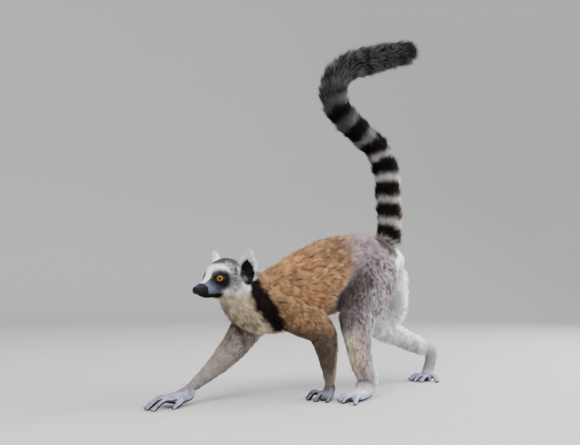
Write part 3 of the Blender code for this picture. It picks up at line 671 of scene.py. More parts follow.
def ear_view(points, side):
    """Points as an ear sees them, from its root: height, across (rear edge positive) and outwards."""
    root, up, over, out = ear_axes(side)
    step = to_head(points) - root
    return step @ up, step @ over * -side, step @ out


def ear_hollow(points):
    """1 inside the hollow of an ear, on the ear and on the head and neck under it, 0 elsewhere: where the
    hollow's painted shade falls, its dent is pressed and its hair is shorter. Its width narrows upwards, and
    its edge is streaked."""
    mask = np.zeros(len(points))
    streak = drift(points * (1, 1, 0.4), 0.16, 6)
    for side in (-1, 1):
        height, across, off = ear_view(points, side)
        edge = line_height(height, EAR_HOLLOW) - np.abs(across + 0.10 * height - 0.1) + streak * 0.15
        mask = np.maximum(mask, ramp(edge, -0.12, 0.12) * ramp(off, -1.2, -0.9) * ramp(off, 1.6, 1.2))
    return mask


def ear_colour(points, normals, tint):
    """White ears, greyer and streaked inside."""
    inward, height, across = np.zeros((3, len(points)))
    way = np.where(to_head(points)[:, 1] < 0, -1, 1)
    for side in (-1, 1):
        here = way == side
        inward[here] = (normals[here] @ head_axes().T) @ ear_axes(side)[3]
        height[here], across[here], _ = ear_view(points[here], side)
    streak = drift(points * (1, 1, 0.4), 0.16, 6)
    grey = ramp(inward, 0.2, 0.5) * ramp(height, 2.9, 1.5) * (0.30 + 0.45 * ramp(streak, -0.5, 0.4))
    grey *= ramp(np.abs(across) / np.interp(height, *np.array(EAR)[:, :2].T), 0.85, 0.65)
    return paint(even(tint["white"], points), tint["cheek"], grey)


def tail_colour(reach, angle, points, tint):
    """Black and white bands of the tail by how far along it a point is, with a tilt on the lowest ones. The
    white is greyer in front and higher up, as painted shade, the black's rear edge is rusty, and near the tip
    all is dark."""
    tilt = ramp(reach, 10, 3) * (points[:, 0] - 17.0) * 0.40
    s = reach + tilt + drift(points, 0.7, 5) * 0.22
    centres = np.array(BANDS)
    band = np.searchsorted((centres[1:] + centres[:-1]) / 2, s)
    steps = np.concatenate([[3.0], np.diff(centres), [3.0]]) / 2
    before, after = steps[:-1][band], steps[1:][band]
    away = (s - centres[band]) / np.where(s < centres[band], before, after)
    share = mix(BLACK_SHARE, UPPER_BLACK_SHARE, ramp(reach, 24.0, 34.0))
    black = ramp(np.abs(away), share + 0.10, share - 0.10)
    sides = mix(0.35, 0.97, ramp(np.abs(np.cos(angle)), 0.35, 0.85))
    black = np.maximum(black, ramp(reach, 37.0, 42.0) * sides)
    rear = ramp(points[:, 0], 18.0, 20.0) * ramp(reach, 24, 18)
    # painted shade: the tail's white dimmed towards grey in front, and further towards dark grey higher up
    pale = paint(even(tint["white"], points), tint["taupe"] * 0.72, (1 - rear) * 0.8)
    pale = paint(pale, tint["cheek"], ramp(reach, 20.0, 34.0) * 0.90)
    dark = paint(even(tint["black"], points), tint["ochre"] * 0.7, ramp(rear, 0.25, 0.9) * 0.45)
    return paint(pale, dark, black)


def trunk_colour(points, angle, tint):
    """Ochre back and flanks, grey rump behind the hip line, pale belly and chest, brown shoulders."""
    x, _, z = points.T
    patchy = 0.6 * drift(points, 2.2, 11) + 0.5 * drift(points, 0.8, 12)
    rump = x - line_height(z, RUMP_EDGE)
    low_flank = ramp(z, 23.5, 21.0) * ramp(z, 16.5, 18.5) * 0.5
    dull = np.maximum(ramp(rump, -11.0, -3.0) * ramp(z, 19.0, 24.0), low_flank)
    brown = np.maximum(dull * 0.9, ramp(x, -5.0, -9.0) * 0.4)
    colour = paint(even(tint["ochre"], points), tint["brown"], brown)
    colour = paint(colour, tint["umber"], ramp(patchy, -0.2, 0.8) * (0.30 + 0.50 * dull))
    colour = paint(colour, tint["brown"], ramp(x, -8.5, -11.0) * 0.8)
    under = ramp(np.sin(angle), -0.50, -0.80)
    front = line_height(z, [(row[2], row[0]) for row in reversed(STRIPE)])
    chest = ramp(x - front, 0.3, -0.5) * ramp(z, 20.0, 18.5)
    rim = np.exp(-((rump + 0.2) / mix(0.55, 0.25, ramp(z, 17.0, 21.0))) ** 2) * ramp(z, 25.0, 22.0) * 0.85
    for pale in (under, chest, rim):
        colour = paint(colour, tint["cream"], pale)
    soft = mix(0.4, 2.6, ramp(z, 21.0, 26.0))
    colour = paint(colour, tint["grey"], ramp(rump + patchy * 0.4, -soft, soft + 0.4) * (1 - under))
    colour = paint(colour, tint["umber"], ramp(rump, 0.0, 2.0) * ramp(z, 22.0, 27.0) * 0.22)
    return paint(colour, tint["white"], ramp(x, 16.6, 17.8) * ramp(z, 27.2, 26.4))


def neck_colour(points, angle, tint):
    """A white ruff behind the cheeks, a brown nape behind it and a cream throat."""
    x, _, z = points.T
    colour = paint(even(tint["cream"], points), tint["white"], ramp(z, 17.0, 18.6) * 0.8)
    behind = x - line_height(z, RUFF_EDGE) + drift(points, 0.6, 13) * 0.35
    nape = np.maximum(ramp(behind, -0.15, 0.35) * ramp(z, 16.6, 18.2), ramp(np.sin(angle), 0.80, 0.97))
    return paint(colour, tint["nape"], nape)


def limb_colour(part, points, tint):
    """Colours of a leg or arm: a pale inner side, a darker front or back as each limb shows."""
    x, y, z = points.T
    base = {"fringe": "white", "shank_right": "white", "arm_left": "brown", "arm_right": "taupe"}
    colour = even(tint[base.get(part, "grey")], points)
    if part == "thigh_left":
        edge = x - line_height(z, RUMP_EDGE) + drift(points, 0.9, 14) * 0.3
        dark = ramp(edge, 8.0, 1.0) * ramp(z, 26.0, 18.0)
        colour = paint(colour, tint["charcoal"], dark * mix(0.65, 1.0, ramp(z, 12.5, 15.5)))
        colour = paint(colour, tint["cream"], ramp(edge, 0.45, 0.0) * ramp(z, 12.5, 14.0))
        colour = paint(colour, tint["white"], ramp(x, 14.6, 15.6))
    elif part == "shank_left":
        front = x - 0.12 * (14 - z)
        colour = paint(colour, tint["charcoal"], ramp(z, 10.5, 13.5) * ramp(front, 7.4, 5.2) * 0.65)
        shin = ramp(front + drift(points, 0.5, 15) * 0.5, 5.9, 4.8) * ramp(z, 12.5, 10.5)
        colour = paint(colour, tint["cream"], shin)
        rust = np.exp(-((front - 5.6) / 0.45) ** 2) * ramp(z, 11.5, 10.0) * ramp(z, 4.0, 6.0)
        colour = paint(colour, tint["ochre"], rust * 0.55)
        colour = paint(colour, tint["taupe"], ramp(z, 12.0, 8.0) * ramp(front, 5.6, 6.4) * 0.55)
        colour = paint(colour, tint["white"], ramp(front, 7.4, 8.3) * ramp(z, 12.5, 10.0))
    elif part == "thigh_right":
        colour = paint(colour, tint["white"], ramp(x, 13.5, 15.5))
    elif part == "shank_right":
        colour = paint(colour, tint["taupe"], ramp(z, 9.6, 7.6) * 0.55)
    elif part == "arm_left":
        colour = paint(colour, tint["umber"], ramp(z, 13.0, 10.0))
        colour = paint(colour, tint["taupe"], ramp(z, 6.0, 3.0) * 0.45)
        colour = paint(colour, tint["cream"], ramp(x, 1.7, 2.7) * ramp(z, 12.0, 10.0))
    elif part == "arm_right":
        streak = ramp(drift(points * (1, 1, 0.4), 0.5, 16), -0.2, 0.5)
        colour = paint(colour, tint["umber"], ramp(z, 9.5, 11.5) * ramp(x, -13.4, -11.6) * streak)
    inner = ramp(y, -1.2, 0.6) if part.endswith("left") else ramp(y, 1.2, -0.6)
    pale = tint["white"] if part in ("shank_right", "thigh_right", "fringe") else tint["cream"]
    return paint(colour, pale, inner * 0.85)


def paw_colour(part, digit, points, normals, tint):
    """Paws: pale above, lavender towards the toes, black below, on the fingers' sides and in the gaps: the
    palms' and soles' own black, and painted shade under the paws and between the digits. Each paw has its own
    wash over that."""
    height = points[:, 2]
    low = {"hand_right": (4.2, 2.4), "foot_left": (1.9, 1.0)}.get(part, (2.4, 1.2))
    pale = even(tint["taupe" if part.startswith("hand") else "white"], points)
    pale = paint(pale, tint["lavender"], ramp(height, *low))
    patchy = ramp(drift(points, 0.6, 19), -0.3, 0.7)
    wash, share = {
        "hand_right": ("cap", 0.20 + 0.35 * patchy),
        "hand_left": ("cheek", 0.60 + 0.25 * patchy),
        "foot_left": ("taupe", ramp(height, 1.2, 2.8) * 0.85),
        "foot_right": ("taupe", ramp(height, 1.2, 2.6) * 0.8),
    }[part]
    pale = paint(pale, tint[wash], share)
    # black by the way a point faces, low down: the palms' and soles' own black, and painted shade under the
    # paws, on the digits' sides and in their gaps
    turned = normals[:, 2] + drift(points, 0.3, 17) * 0.12
    dark = ramp(turned, 0.34, -0.02) if digit else ramp(turned, -0.35, -0.65)
    return paint(pale, tint["black"], dark * ramp(height, 3.2, 2.4))


def mixed_colours(points, normals, place, tubes, tint, shift):
    """Each part's own colours, mixed by the squares of the point's shares in the parts. The neck's colours
    stop at the face, and the tail's bands are read a little way along the hair."""
    colour, total = np.zeros_like(points), np.zeros(len(points))
    face = ramp(to_head(points)[:, 0], 5.2, 6.8)
    for n, tube in enumerate(tubes):
        share = place.share[:, n] ** 2
        if tube.part == "neck":
            share = share * face
        here = share > 0.001
        p, a, r = points[here], place.angle[here, n], (place.reach[:, n] + shift)[here]
        if tube.region == "head":
            c = head_colour(p, tint)
        elif tube.region == "ear":
            c = ear_colour(p, normals[here], tint)
        elif tube.region == "tail":
            c = tail_colour(r, a, p, tint)
        elif tube.region == "trunk":
            c = trunk_colour(p, a, tint)
        elif tube.region == "neck":
            c = neck_colour(p, a, tint)
        elif tube.region in ("hand", "foot"):
            c = paw_colour(tube.part, tube.half.max() < DIGIT_SIZE, p, normals[here], tint)
        else:
            c = limb_colour(tube.part, p, tint)
        colour[here] += c * share[here, None]
        total[here] += share[here]
    return colour / total[:, None]


def shoulder_streak(points):
    """1 on a slanting dark streak over the right shoulder, seen from the front left."""
    x, y, z = points.T
    off = np.abs(z - 13.0 + 0.85 * (x + 13.8)) + 0.5 * drift(points * (1, 1, 0.5), 0.6, 21)
    return ramp(off, 1.3, 0.3) * ramp(np.abs(x + 13.8), 2.2, 1.4) * ramp(y, -3.0, -1.8)


def root_band(points, colour, tint):
    """A dark band slants over the rump under the tail's root: its strength falls with the distance, in side
    view, from a straight line."""
    start = np.array(BASE_BAND[0])
    step = np.array(BASE_BAND[1]) - start
    flat = points[:, ::2] - start
    off = np.linalg.norm(flat - np.clip(flat @ step / (step @ step), 0, 1)[:, None] * step, axis=1)
    off += drift(points, 0.5, 18) * 0.15
    colour = paint(colour, tint["umber"], ramp(off, 1.9, 1.3) * ramp(points[:, 2], 24.2, 24.8) * 0.85)
    return paint(colour, tint["black"], ramp(off, 1.1, 0.6) * 0.5)


def neck_parting_shade(points, place):
    """1 on the black stripe of painted shade down the left of the neck, in the parting between the ruff and
    the shoulder: the distance from its middle line in side view, over half its width there."""
    route = smooth_path(STRIPE, 5)
    near = np.flatnonzero((points[:, 0] < -4) & (points[:, 1] < 0) & (points[:, 2] < 22))
    away = np.linalg.norm(points[near, None, ::2] - route[None, :, :3:2], axis=2) / route[:, 3]
    stripe = np.zeros(len(points))
    stripe[near] = ramp(away.min(1) + drift(points[near], 0.6, 8) * 0.30, 1.40, 0.75)
    return stripe * ramp(points[:, 1], -0.8, -1.8) * (place.share_of["head"] < 0.5)


def markings_and_shade(points, normals, place, tubes, tint, shift):
    """The animal's colours at each point: the parts' own, then the markings that cross from part to part, and
    painted shade in the ears' hollows and in the parting down the neck.
    """
    colour = mixed_colours(points, normals, place, tubes, tint, shift)
    local = to_head(points)
    outward = np.where(local[:, 1:2] < 0, ear_axes(-1)[3], ear_axes(1)[3]) @ head_axes()
    # painted shade deep in the ears' hollows, on the ears and on the head and neck under them
    colour = paint(colour, tint["patch"], ear_hollow(points) * ramp((normals * outward).sum(1), 0.15, 0.45))
    ears = place.share_of["ear_left"] + place.share_of["ear_right"]
    on_head = ramp(ears, 0.9, 0.6) * (local[:, 0] < 8)
    colour = paint(colour, cheek_marks(points, colour, tint), on_head)
    folded = np.column_stack([local[:, 0], np.abs(local[:, 1]), local[:, 2]])
    bare = np.linalg.norm(folded - BARE_EAR, axis=1)
    colour = paint(colour, tint["taupe"], ramp(bare, 1.1, 0.4) * 0.6)
    colour = paint(colour, tint["umber"], shoulder_streak(points) * 0.75)
    colour = root_band(points, colour, tint)
    # painted shade: the black stripe in the parting between the ruff and the shoulder
    return paint(colour, tint["stripe"], neck_parting_shade(points, place))


# ---------------------------------------------------------------- the face
def eye_axes(way):
    """The way an eye looks, and two directions square to it (forward along the lid and up), head's axes."""
    look = unit(np.array((-0.78, way * 0.60, 0.08)))
    lid = unit(np.cross((0.0, 0.0, 1.0), look)) * way
    return look, lid, np.cross(look, lid) * way


def lid_angle(turn):
    """Half opening of the lids in each direction round the eye's axis: an almond, 41 degrees along the lid
    and 35 across it, drawn out a little at its two corners."""
    wide, tall = math.radians(41), math.radians(35)
    oval = 1 / np.sqrt((np.cos(turn) / wide) ** 2 + (np.sin(turn) / tall) ** 2)
    return oval * (1 + 0.12 * np.cos(turn) ** 8)


def eye_view(p, way):
    """Points of the head as an eye sees them: how far they are from its middle, and the angle from its axis
    over the lids' half opening on that side, 1 on the lids' edge."""
    look, lid, up = eye_axes(way)
    step = p - np.array(EYE_CENTRE) * (1, way, 1)
    far = np.linalg.norm(step, axis=1)
    angle = np.arccos(np.clip(step @ look / far, -1, 1))
    return step, far, angle / lid_angle(np.arctan2(step @ up, step @ lid))


def from_eye(way, a, t):
    """Directions at an angle a from an eye's axis, turned by t round it:
    look * cos(a) + (lid * cos(t) + up * sin(t)) * sin(a)."""
    look, lid, up = eye_axes(way)
    a, t = a[..., None], t[..., None]
    return look * np.cos(a) + (lid * np.cos(t) + up * np.sin(t)) * np.sin(a)


def sculpt_face(points):
    """Presses the eyes' openings, brows, nostrils, mouth and chin into the head. Every change is a smooth
    bump or groove whose height falls as a bell curve or an S curve from its middle."""
    p = to_head(points)
    near = (p[:, 0] < 7.5) & (np.abs(p[:, 1]) < 3.6) & (np.abs(p[:, 2]) < 4.5)
    q = p[near]
    for way in (-1, 1):
        centre = np.array(EYE_CENTRE) * (1, way, 1)
        step, far, e = eye_view(q, way)
        rim = mix(EYE_RADIUS + 0.05, far, ramp(e, 1.0, 1.9))
        wanted = np.where(e < 1.0, mix(0.62, EYE_RADIUS + 0.05, ramp(e, 0.86, 1.0)), rim)
        pressed = ((e < 1.9) & (far < LID_REACH))[:, None]
        q = np.where(pressed, centre + unit(step) * wanted[:, None], q)
    x, y, z = q.T
    side = np.abs(y)
    lip = line_height(x, LIP)
    groove = np.exp(-((z - lip) / 0.08) ** 2) * ramp(x, 4.2, 3.4) * ramp(x, -0.1, 0.1)
    inward = np.stack([-0.25 * np.ones_like(x), -np.sign(y) * ramp(side, 0.0, 0.3), 0 * x], 1)
    q = q + inward * (0.11 * groove)[:, None]
    chin = ramp(z, lip - 0.02, lip - 0.25) * ramp(x, 3.0, 1.0)
    q = q + np.stack([0.30 * chin, -0.10 * chin * np.sign(y) * ramp(side, 0, 0.4), 0.05 * chin], 1)
    nostril = np.exp(-(((x - 0.04) / 0.22) ** 2 + ((side - 0.34) / 0.14) ** 2 + ((z + 0.20) / 0.13) ** 2))
    slit = np.exp(-(((x - 0.30) / 0.20) ** 2 + ((side - 0.62) / 0.16) ** 2 + ((z + 0.16) / 0.07) ** 2))
    q = q + np.stack([0.26 * nostril, -np.sign(y) * (0.06 * nostril + 0.14 * slit), 0.03 * nostril], 1)
    cleft = np.exp(-(y / 0.05) ** 2) * ramp(x, 0.5, 0.2) * ramp(z, -0.1, -0.3)
    q = q + np.stack([0.07 * cleft, 0 * x, 0 * x], 1)
    pad = np.exp(-(((x - 1.3) / 0.6) ** 2 + ((z + 0.35) / 0.35) ** 2)) * ramp(side, 0.3, 0.8)
    q = q + np.stack([0 * x, np.sign(y) * 0.07 * pad, 0 * x], 1)
    p[near] = q
    return from_head(p)


def sculpt_ears(points):
    """Presses the lower end of each ear's hollow into the head and neck under it, 0.5 deep."""
    for side in (-1, 1):
        height, _, off = ear_view(points, side)
        here = to_head(points)[:, 1] * side > 0
        dent = ear_hollow(points) * ramp(height, 0.6, -0.2) * ramp(off, -0.6, -0.2) * here
        points = points - (ear_axes(side)[3] @ head_axes()) * (0.5 * dent)[:, None]
    return points


def soft_focus(points):
    """How much of the skin's fine mesh is kept at each point: all on the face, much on hands and feet."""
    p = to_head(points)
    face = ramp(p[:, 0], 8.5, 6.0)
    paws = ramp(points[:, 2], 3.2, 2.4)
    return np.maximum(face, 0.8 * paws)


def make_skin(tubes):
    """Every surface of the body joined on one grid, smoothed, thinned under the long coat and cut flat where
    it stands; then refined on the snout and round the eyes, and the face pressed into it."""
    parts = [tube_surface(t) for t in tubes if t.region not in ("head", "ear")]
    parts += [head_surface(), ear_surface(-1), ear_surface(1)]
    skin = new_mesh("skin", *joined(parts))
    recalculate(skin.data)
    grid = skin.modifiers.new("join", "REMESH")
    grid.mode, grid.voxel_size = "VOXEL", SKIN_GRAIN * CM
    soft = skin.modifiers.new("soften", "SMOOTH")
    soft.factor, soft.iterations = 0.5, 5
    applied(skin)
    points, _, triangles = read_mesh(skin.data)
    keep = skin.vertex_groups.new(name="thin")
    weight = 1 - soft_focus(points)
    for level in range(1, 9):
        chosen = np.flatnonzero(np.round(weight * 8) == level)
        keep.add(chosen.tolist(), level / 8, "REPLACE")
    thin = skin.modifiers.new("thin", "DECIMATE")
    thin.ratio = SKIN_TRIANGLES / len(triangles)
    thin.vertex_group = keep.name
    thin.vertex_group_factor = 8.0
    applied(skin)
    skin.vertex_groups.clear()
    refine(skin.data)
    points, _, _ = read_mesh(skin.data)
    points = sculpt_ears(sculpt_face(points))
    points[:, 2] = np.maximum(points[:, 2], 0.02)
    skin.data.vertices.foreach_set("co", in_metres(points).astype(np.float32).ravel())
    skin.data.polygons.foreach_set("use_smooth", np.ones(len(skin.data.polygons), bool))
    skin.data.update()
    return skin


def recalculate(mesh):
    """Turns every face outwards."""
    bm = bmesh.new()
    bm.from_mesh(mesh)
    bmesh.ops.recalc_face_normals(bm, faces=bm.faces)
    bm.to_mesh(mesh)
    bm.free()


def refine(mesh):
    """Halves every edge of the snout and round the eyes, and leaves triangles."""
    bm = bmesh.new()
    bm.from_mesh(mesh)
    points = to_head(in_centimetres(np.array([v.co for v in bm.verts])))
    fine = (points[:, 0] < 5.6) & (np.abs(points[:, 1]) < 3.4) & (points[:, 2] > -2.4) & (points[:, 2] < 2.6)
    edges = [e for e in bm.edges if fine[e.verts[0].index] and fine[e.verts[1].index]]
    bmesh.ops.subdivide_edges(bm, edges=edges, cuts=1, use_grid_fill=True)
    bmesh.ops.triangulate(bm, faces=bm.faces)
    bm.to_mesh(mesh)
    bm.free()


# ---------------------------------------------------------------- the coat
# one row for each tuft: pull is towards the middle of its lock, chance is four random numbers
Hair = namedtuple("Hair", "root normal way pull length rise width colour tip chance place")


def spread_roots(skin, tubes, seed):
    """Random places on the skin, as many to a square centimetre as each part's coat has: a triangle is drawn
    with a chance in proportion to its area times that count, then a point in it by two even numbers."""
    points, normals, triangles = read_mesh(skin.data)
    a, b, c = (points[triangles[:, i]] for i in range(3))
    area = np.linalg.norm(np.cross(b - a, c - a), axis=1) / 2
    middle = (a + b + c) / 3
    place = place_on_body(middle, tubes)
    count = sum(COATS[t.region].count * place.share[:, n] for n, t in enumerate(tubes))
    count = count * bare_parts(middle, unit(np.cross(b - a, c - a)), place)
    wanted = area * count * bpy.context.scene.lemur_sizes.tufts
    rng = np.random.default_rng(seed)
    total = int(wanted.sum())
    chosen = np.searchsorted(np.cumsum(wanted) / wanted.sum(), rng.random(total))
    u, v = rng.random((2, total))
    flip = u + v > 1
    u, v = np.where(flip, 1 - u, u), np.where(flip, 1 - v, v)
    corner = triangles[chosen]
    weights = np.stack([1 - u - v, u, v], 1)[..., None]
    root = (points[corner] * weights).sum(1)
    normal = unit((normals[corner] * weights).sum(1))
    return root, normal, rng


def bare_parts(points, facing, place):
    """1 where the skin is furred, 0 on the nose, the lids, the ears' hollows, soles and palms."""
    p = to_head(points)
    head = place.share_of["head"] > 0.5
    furred = np.where(head, ramp(p[:, 0], 0.8, 1.5), 1.0)
    for way in (-1, 1):
        _, far, e = eye_view(p, way)
        furred = np.where(head & (far < LID_REACH), furred * ramp(e, 1.04, 1.3), furred)
        root, _, across, out = ear_axes(way)
        mine = place.share_of["ear_left" if way < 0 else "ear_right"] > 0.5
        hollow = (facing @ head_axes().T) @ out
        middle = 1 - np.abs((p - root) @ across) / 1.5
        furred = np.where(mine & (hollow > 0.3), furred * mix(1.0, 0.6, ramp(middle, 0.15, 0.5)), furred)
    furred *= 1 - 0.5 * ear_hollow(points)
    paws = sum(place.share_of[paw] for paw in PAWS)
    return furred * np.where(paws > 0.5, ramp(facing[:, 2], -0.5, 0.1), 1.0)


def ripples(points):
    """Smooth noise from -1 to 1, stretched across the body: the coat's ridges where it breaks over itself."""
    bent = points * (1.0, 0.5, 0.6) + 0.5 * drift(points, 2.0, 44)[:, None]
    return np.clip(1.6 * drift(bent, 0.62, 43), -1, 1)


def comb(skin, tubes, tint, seed):
    """Works out every tuft: its root, the way it lies, its length, rise and colour. The lie wanders smoothly
    by each part's angle, and again a little for each lock."""
    root, normal, rng = spread_roots(skin, tubes, seed)
    place = place_on_body(root, tubes)
    coat = {f: sum(getattr(COATS[t.region], f) * place.share[:, n] for n, t in enumerate(tubes))
            for f in Coat._fields}
    way = lie_of_coat(root, normal, place, tubes)
    local = to_head(root)
    head = place.share_of["head"]
    cheek = ramp(local[:, 0], 5.5, 7.5) * ramp(local[:, 2], 1.6, 0.4)
    grow = 1 + head * (0.8 * cheek - 0.62 * ramp(local[:, 0], 4.4, 2.8))
    grow *= 1 - 0.4 * (place.share_of["arm_right"] + place.share_of["arm_left"]) * ramp(root[:, 2], 12, 6)
    way, fringe = ear_fringe(root, way, place)
    hollow = ear_hollow(root)
    length = coat["length"] * grow * fringe * (1 - 0.55 * hollow) * rng.uniform(0.75, 1.15, len(root))
    length *= bpy.context.scene.lemur_sizes.hair_length
    depth = np.where(head > 0.5, head_depth(local[:, 0]), coat["depth"]) * grow
    middle, chance = nearest_lock(root, coat["lock"], 21)
    turn = drift(root, 3.2, 31) + 0.6 * drift(root, 1.3, 32) + 0.9 * (chance[:, 0] * 2 - 1)
    swing = np.radians(coat["wander"]) * turn
    swing += np.radians(9) * rng.normal(size=len(root))
    way = way * np.cos(swing)[:, None] + np.cross(normal, way) * np.sin(swing)[:, None]
    rise = depth * rng.uniform(0.70, 1.04, len(root)) * (0.60 + 0.52 * chance[:, 1]) * (1 - 0.6 * hollow)
    rise *= 1 + 0.2 * ramp(root[:, 2], 54, 60) + 0.6 * ramp(root[:, 0], 16, 17.5) * ramp(root[:, 2], 30, 28)
    reach, angle = along_tail(place, tubes)
    reach = reach * (place.share_of["tail"] > 0.5)
    flare = ramp(reach, 30, 40) * np.abs(np.sin(angle))
    rise *= (1 + 0.4 * flare) * (1 - 0.35 * ramp(reach, 57, 64))
    rise *= 1 + 0.22 * ripples(root + way * (length * 0.7)[:, None]) * ramp(length, 0.5, 1.0)
    rise = np.minimum(rise, length * 0.8)
    pull = middle - root
    pull -= normal * dot(pull, normal)
    pull *= coat["pull"][:, None]
    width = coat["width"] * rng.uniform(0.8, 1.2, len(root)) * np.where(head > 0.5, np.sqrt(grow), 1)
    chances = np.column_stack([chance, rng.random(len(root))])
    colour, end = (markings_and_shade(root + way * (length * far)[:, None], normal, place, tubes, tint, length * far)
                   for far in (0.40, 0.75))
    tip = tip_colour(end, place, tubes, chances, tint)
    return Hair(root, normal, way, pull, length, rise, width, colour, tip, chances, place)


def ear_fringe(root, way, place):
    """On the ears' edges the hair stands out along the edge, up and sideways, and is longest at the tip.
    Gives the new ways and how many times longer the hair is."""
    local = to_head(root)
    longer = np.ones(len(root))
    for part, side in (("ear_left", -1), ("ear_right", 1)):
        base, up, over, _ = ear_axes(side)
        height, across = (local - base) @ up, (local - base) @ over
        half = np.interp(height, *np.array(EAR)[:, :2].T)
        edge = ramp(np.abs(across) / half, 0.65, 0.95) * (place.share_of[part] > 0.4)
        edge = np.maximum(edge, ramp(height, 2.6, 3.3) * (place.share_of[part] > 0.4))
        spread, more = (0.12, -0.15) if side < 0 else (0.55, 0.7)
        stand = unit(up + over * np.clip(across / 0.8, -1, 1)[:, None] * spread) @ head_axes()
        way = unit(mix(way, stand, edge[:, None]))
        longer += edge * (ramp(height, 2.8, 3.5) + more)
    return way, longer


def tip_colour(colour, place, tubes, chances, tint):
    """The colour at the tips: lighter everywhere as painted light, golden on the back, and pale on half of
    the long hairs of the upper tail, there dimmed to a dark grey as painted shade."""
    share = place.share_of
    # painted light: every tip lighter than the hair below it
    tip = colour * 1.18
    body = share["trunk"] + share["neck"] + share["arm_left"]
    warm = body * ramp(colour[:, 0] - colour[:, 2], 0.04, 0.15)
    tip = paint(tip, tint["gold"], warm * 0.45 * chances[:, 2])
    reach, _ = along_tail(place, tubes)
    high = ramp(reach, 34.0, 39.0) * share["tail"] * ramp(chances[:, 3], 0.45, 0.65) * ramp(reach, 60, 52)
    # the upper tail's pale tips, dimmed to a dark grey as painted shade
    tip = paint(tip, tint["white"] * 0.16, high)
    grey = share["thigh_left"] + share["shank_left"]
    return paint(tip, tint["white"], grey * 0.25 * ramp(colour[:, 0], 0.12, 0.25))


def tuft_points(hair, rng):
    """Five points a tuft: its root, three round its middle and its tip, a spindle. Its line leaves the skin
    steeply and then bends over: at its middle it has risen by 0.62 of its whole rise. It waves to one side
    at its middle and back again, and its tip leans towards the middle of its lock."""
    run = np.sqrt(np.maximum(hair.length**2 - hair.rise**2, 0.01))[:, None]
    rise = hair.rise[:, None]
    wave = np.cross(hair.normal, hair.way) * ((hair.chance[:, 1] * 2 - 1) * hair.length * 0.15)[:, None]
    base = hair.root - hair.normal * 0.05
    knee = hair.root + hair.way * run * 0.42 + hair.normal * rise * 0.62 + hair.pull * 0.45 + wave
    tip = hair.root + hair.way * run + hair.normal * rise + hair.pull - wave * 0.6
    knee[:, 2], tip[:, 2] = np.maximum(knee[:, 2], 0.06), np.maximum(tip[:, 2], 0.03)
    line = unit(tip - base)
    side = unit(np.cross(line, hair.normal))
    top = np.cross(side, line)
    roll = rng.uniform(-0.6, 0.6, len(base))[:, None]
    side, top = side * np.cos(roll) + top * np.sin(roll), top * np.cos(roll) - side * np.sin(roll)
    half = hair.width[:, None] / 2
    ring = [knee + side * half, knee + top * half * 0.8, knee - side * half]
    return np.stack([base, *ring, tip], 1), np.stack([top, side, top, -side, top], 1)


# a tuft's six faces, and the place of its five points in its patch of the map OFBake
TUFT_FACES = np.array(((0, 1, 2), (0, 2, 3), (0, 3, 1), (2, 1, 4), (3, 2, 4), (1, 3, 4)))
TUFT_PATCH = np.array(((0, -1), (0.8, 0), (0, 0.1), (-0.8, 0), (0, 1))) * 0.0015


def unwrap(hair, tubes, names):
    """Each root's place on the unrolled skin: how far along its tube and its angle round it, with the tubes
    of a piece side by side in strips of equal width."""
    n = hair.place.tube
    rows = np.arange(len(n))
    reach = hair.place.reach[rows, n] / np.array([t.reach[-1] for t in tubes])[n]
    turn = hair.place.angle[rows, n] / (2 * math.pi) + 0.5
    strips = [i for i, t in enumerate(tubes) if t.part in names]
    lane = np.searchsorted(strips, n).clip(0, len(strips) - 1)
    return np.stack([0.003 + 0.994 * reach, (lane + 0.01 + 0.98 * turn) / len(strips)], 1)


def coat_piece(name, hair, chosen, tubes, parts, material, rng):
    """One piece of the coat: its tufts as one mesh, with their colours and their painted light and shade, and
    the map OFBake, in which a tuft is a patch 0.003 across at its root's place. The light falls on it as on
    soft fur: each point's normal is the skin's normal, bent by 0.4 of the tuft's own."""
    some = Hair(*(pick(v, chosen) for v in hair))
    points, bend = tuft_points(some, rng)
    count = len(points)
    faces = (TUFT_FACES[None] + 5 * np.arange(count)[:, None, None]).reshape(-1, 3)
    obj = new_mesh(name, points.reshape(-1, 3), [faces])
    mesh = obj.data
    long = ramp(some.length, 0.3, 0.9)
    # painted light and shade along the coat's ridges, where it breaks over itself: lighter on the ridges,
    # darker in the troughs
    ridge_light = ripples(some.root + some.way * (some.length * 0.7)[:, None])
    by_lock, by_ridge = mix(0.20, 0.42, long), mix(0.05, 0.32, long)
    # each tuft's lightness: a random tone for its lock and for itself, and the ridges' painted light and
    # shade
    light = 0.98 + (by_lock * (some.chance[:, 2] - 0.5) + by_ridge * ridge_light + 0.20 * (some.chance[:, 3] - 0.5))
    light = np.maximum(light, 0.50)[:, None]
    # painted shade deep in the coat: each root darker than the tuft's middle, the more so on long hair, and
    # the middle a little darker than the tip
    root = some.colour * np.maximum(light, 0.8) * mix(0.80, 0.50, long)[:, None]
    colour = np.stack([root] + [some.colour * light * 0.90] * 3 + [some.tip * light], 1)
    give(mesh, "coat_colour", "FLOAT_COLOR", np.concatenate([colour, np.ones((count, 5, 1))], -1))
    spot = unwrap(some, tubes, parts)[:, None] + TUFT_PATCH[None]
    uv = np.clip(spot, 0.0005, 0.9995).reshape(-1, 2)[faces.ravel()]
    layer = mesh.uv_layers.new(name="OFBake")
    layer.uv.foreach_set("vector", uv.astype(np.float32).ravel())
    soft = unit(some.normal[:, None] + 0.4 * bend).reshape(-1, 3)
    mesh.normals_split_custom_set_from_vertices(soft.astype(np.float32))
    mesh.materials.append(material)
    return obj


def pick(value, chosen):
    """The chosen rows of an array, of every array of a Place or of a dict of arrays."""
    if isinstance(value, dict):
        return {k: v[chosen] for k, v in value.items()}
    if isinstance(value, Place):
        return Place(*(pick(v, chosen) for v in value))
    return value[chosen]


# ---------------------------------------------------------------- materials
def new_material(name):
    """A material with its Principled shader and its node tree."""
    material = bpy.data.materials.new(name)
    material.use_nodes = True
    return material, material.node_tree, material.node_tree.nodes["Principled BSDF"]


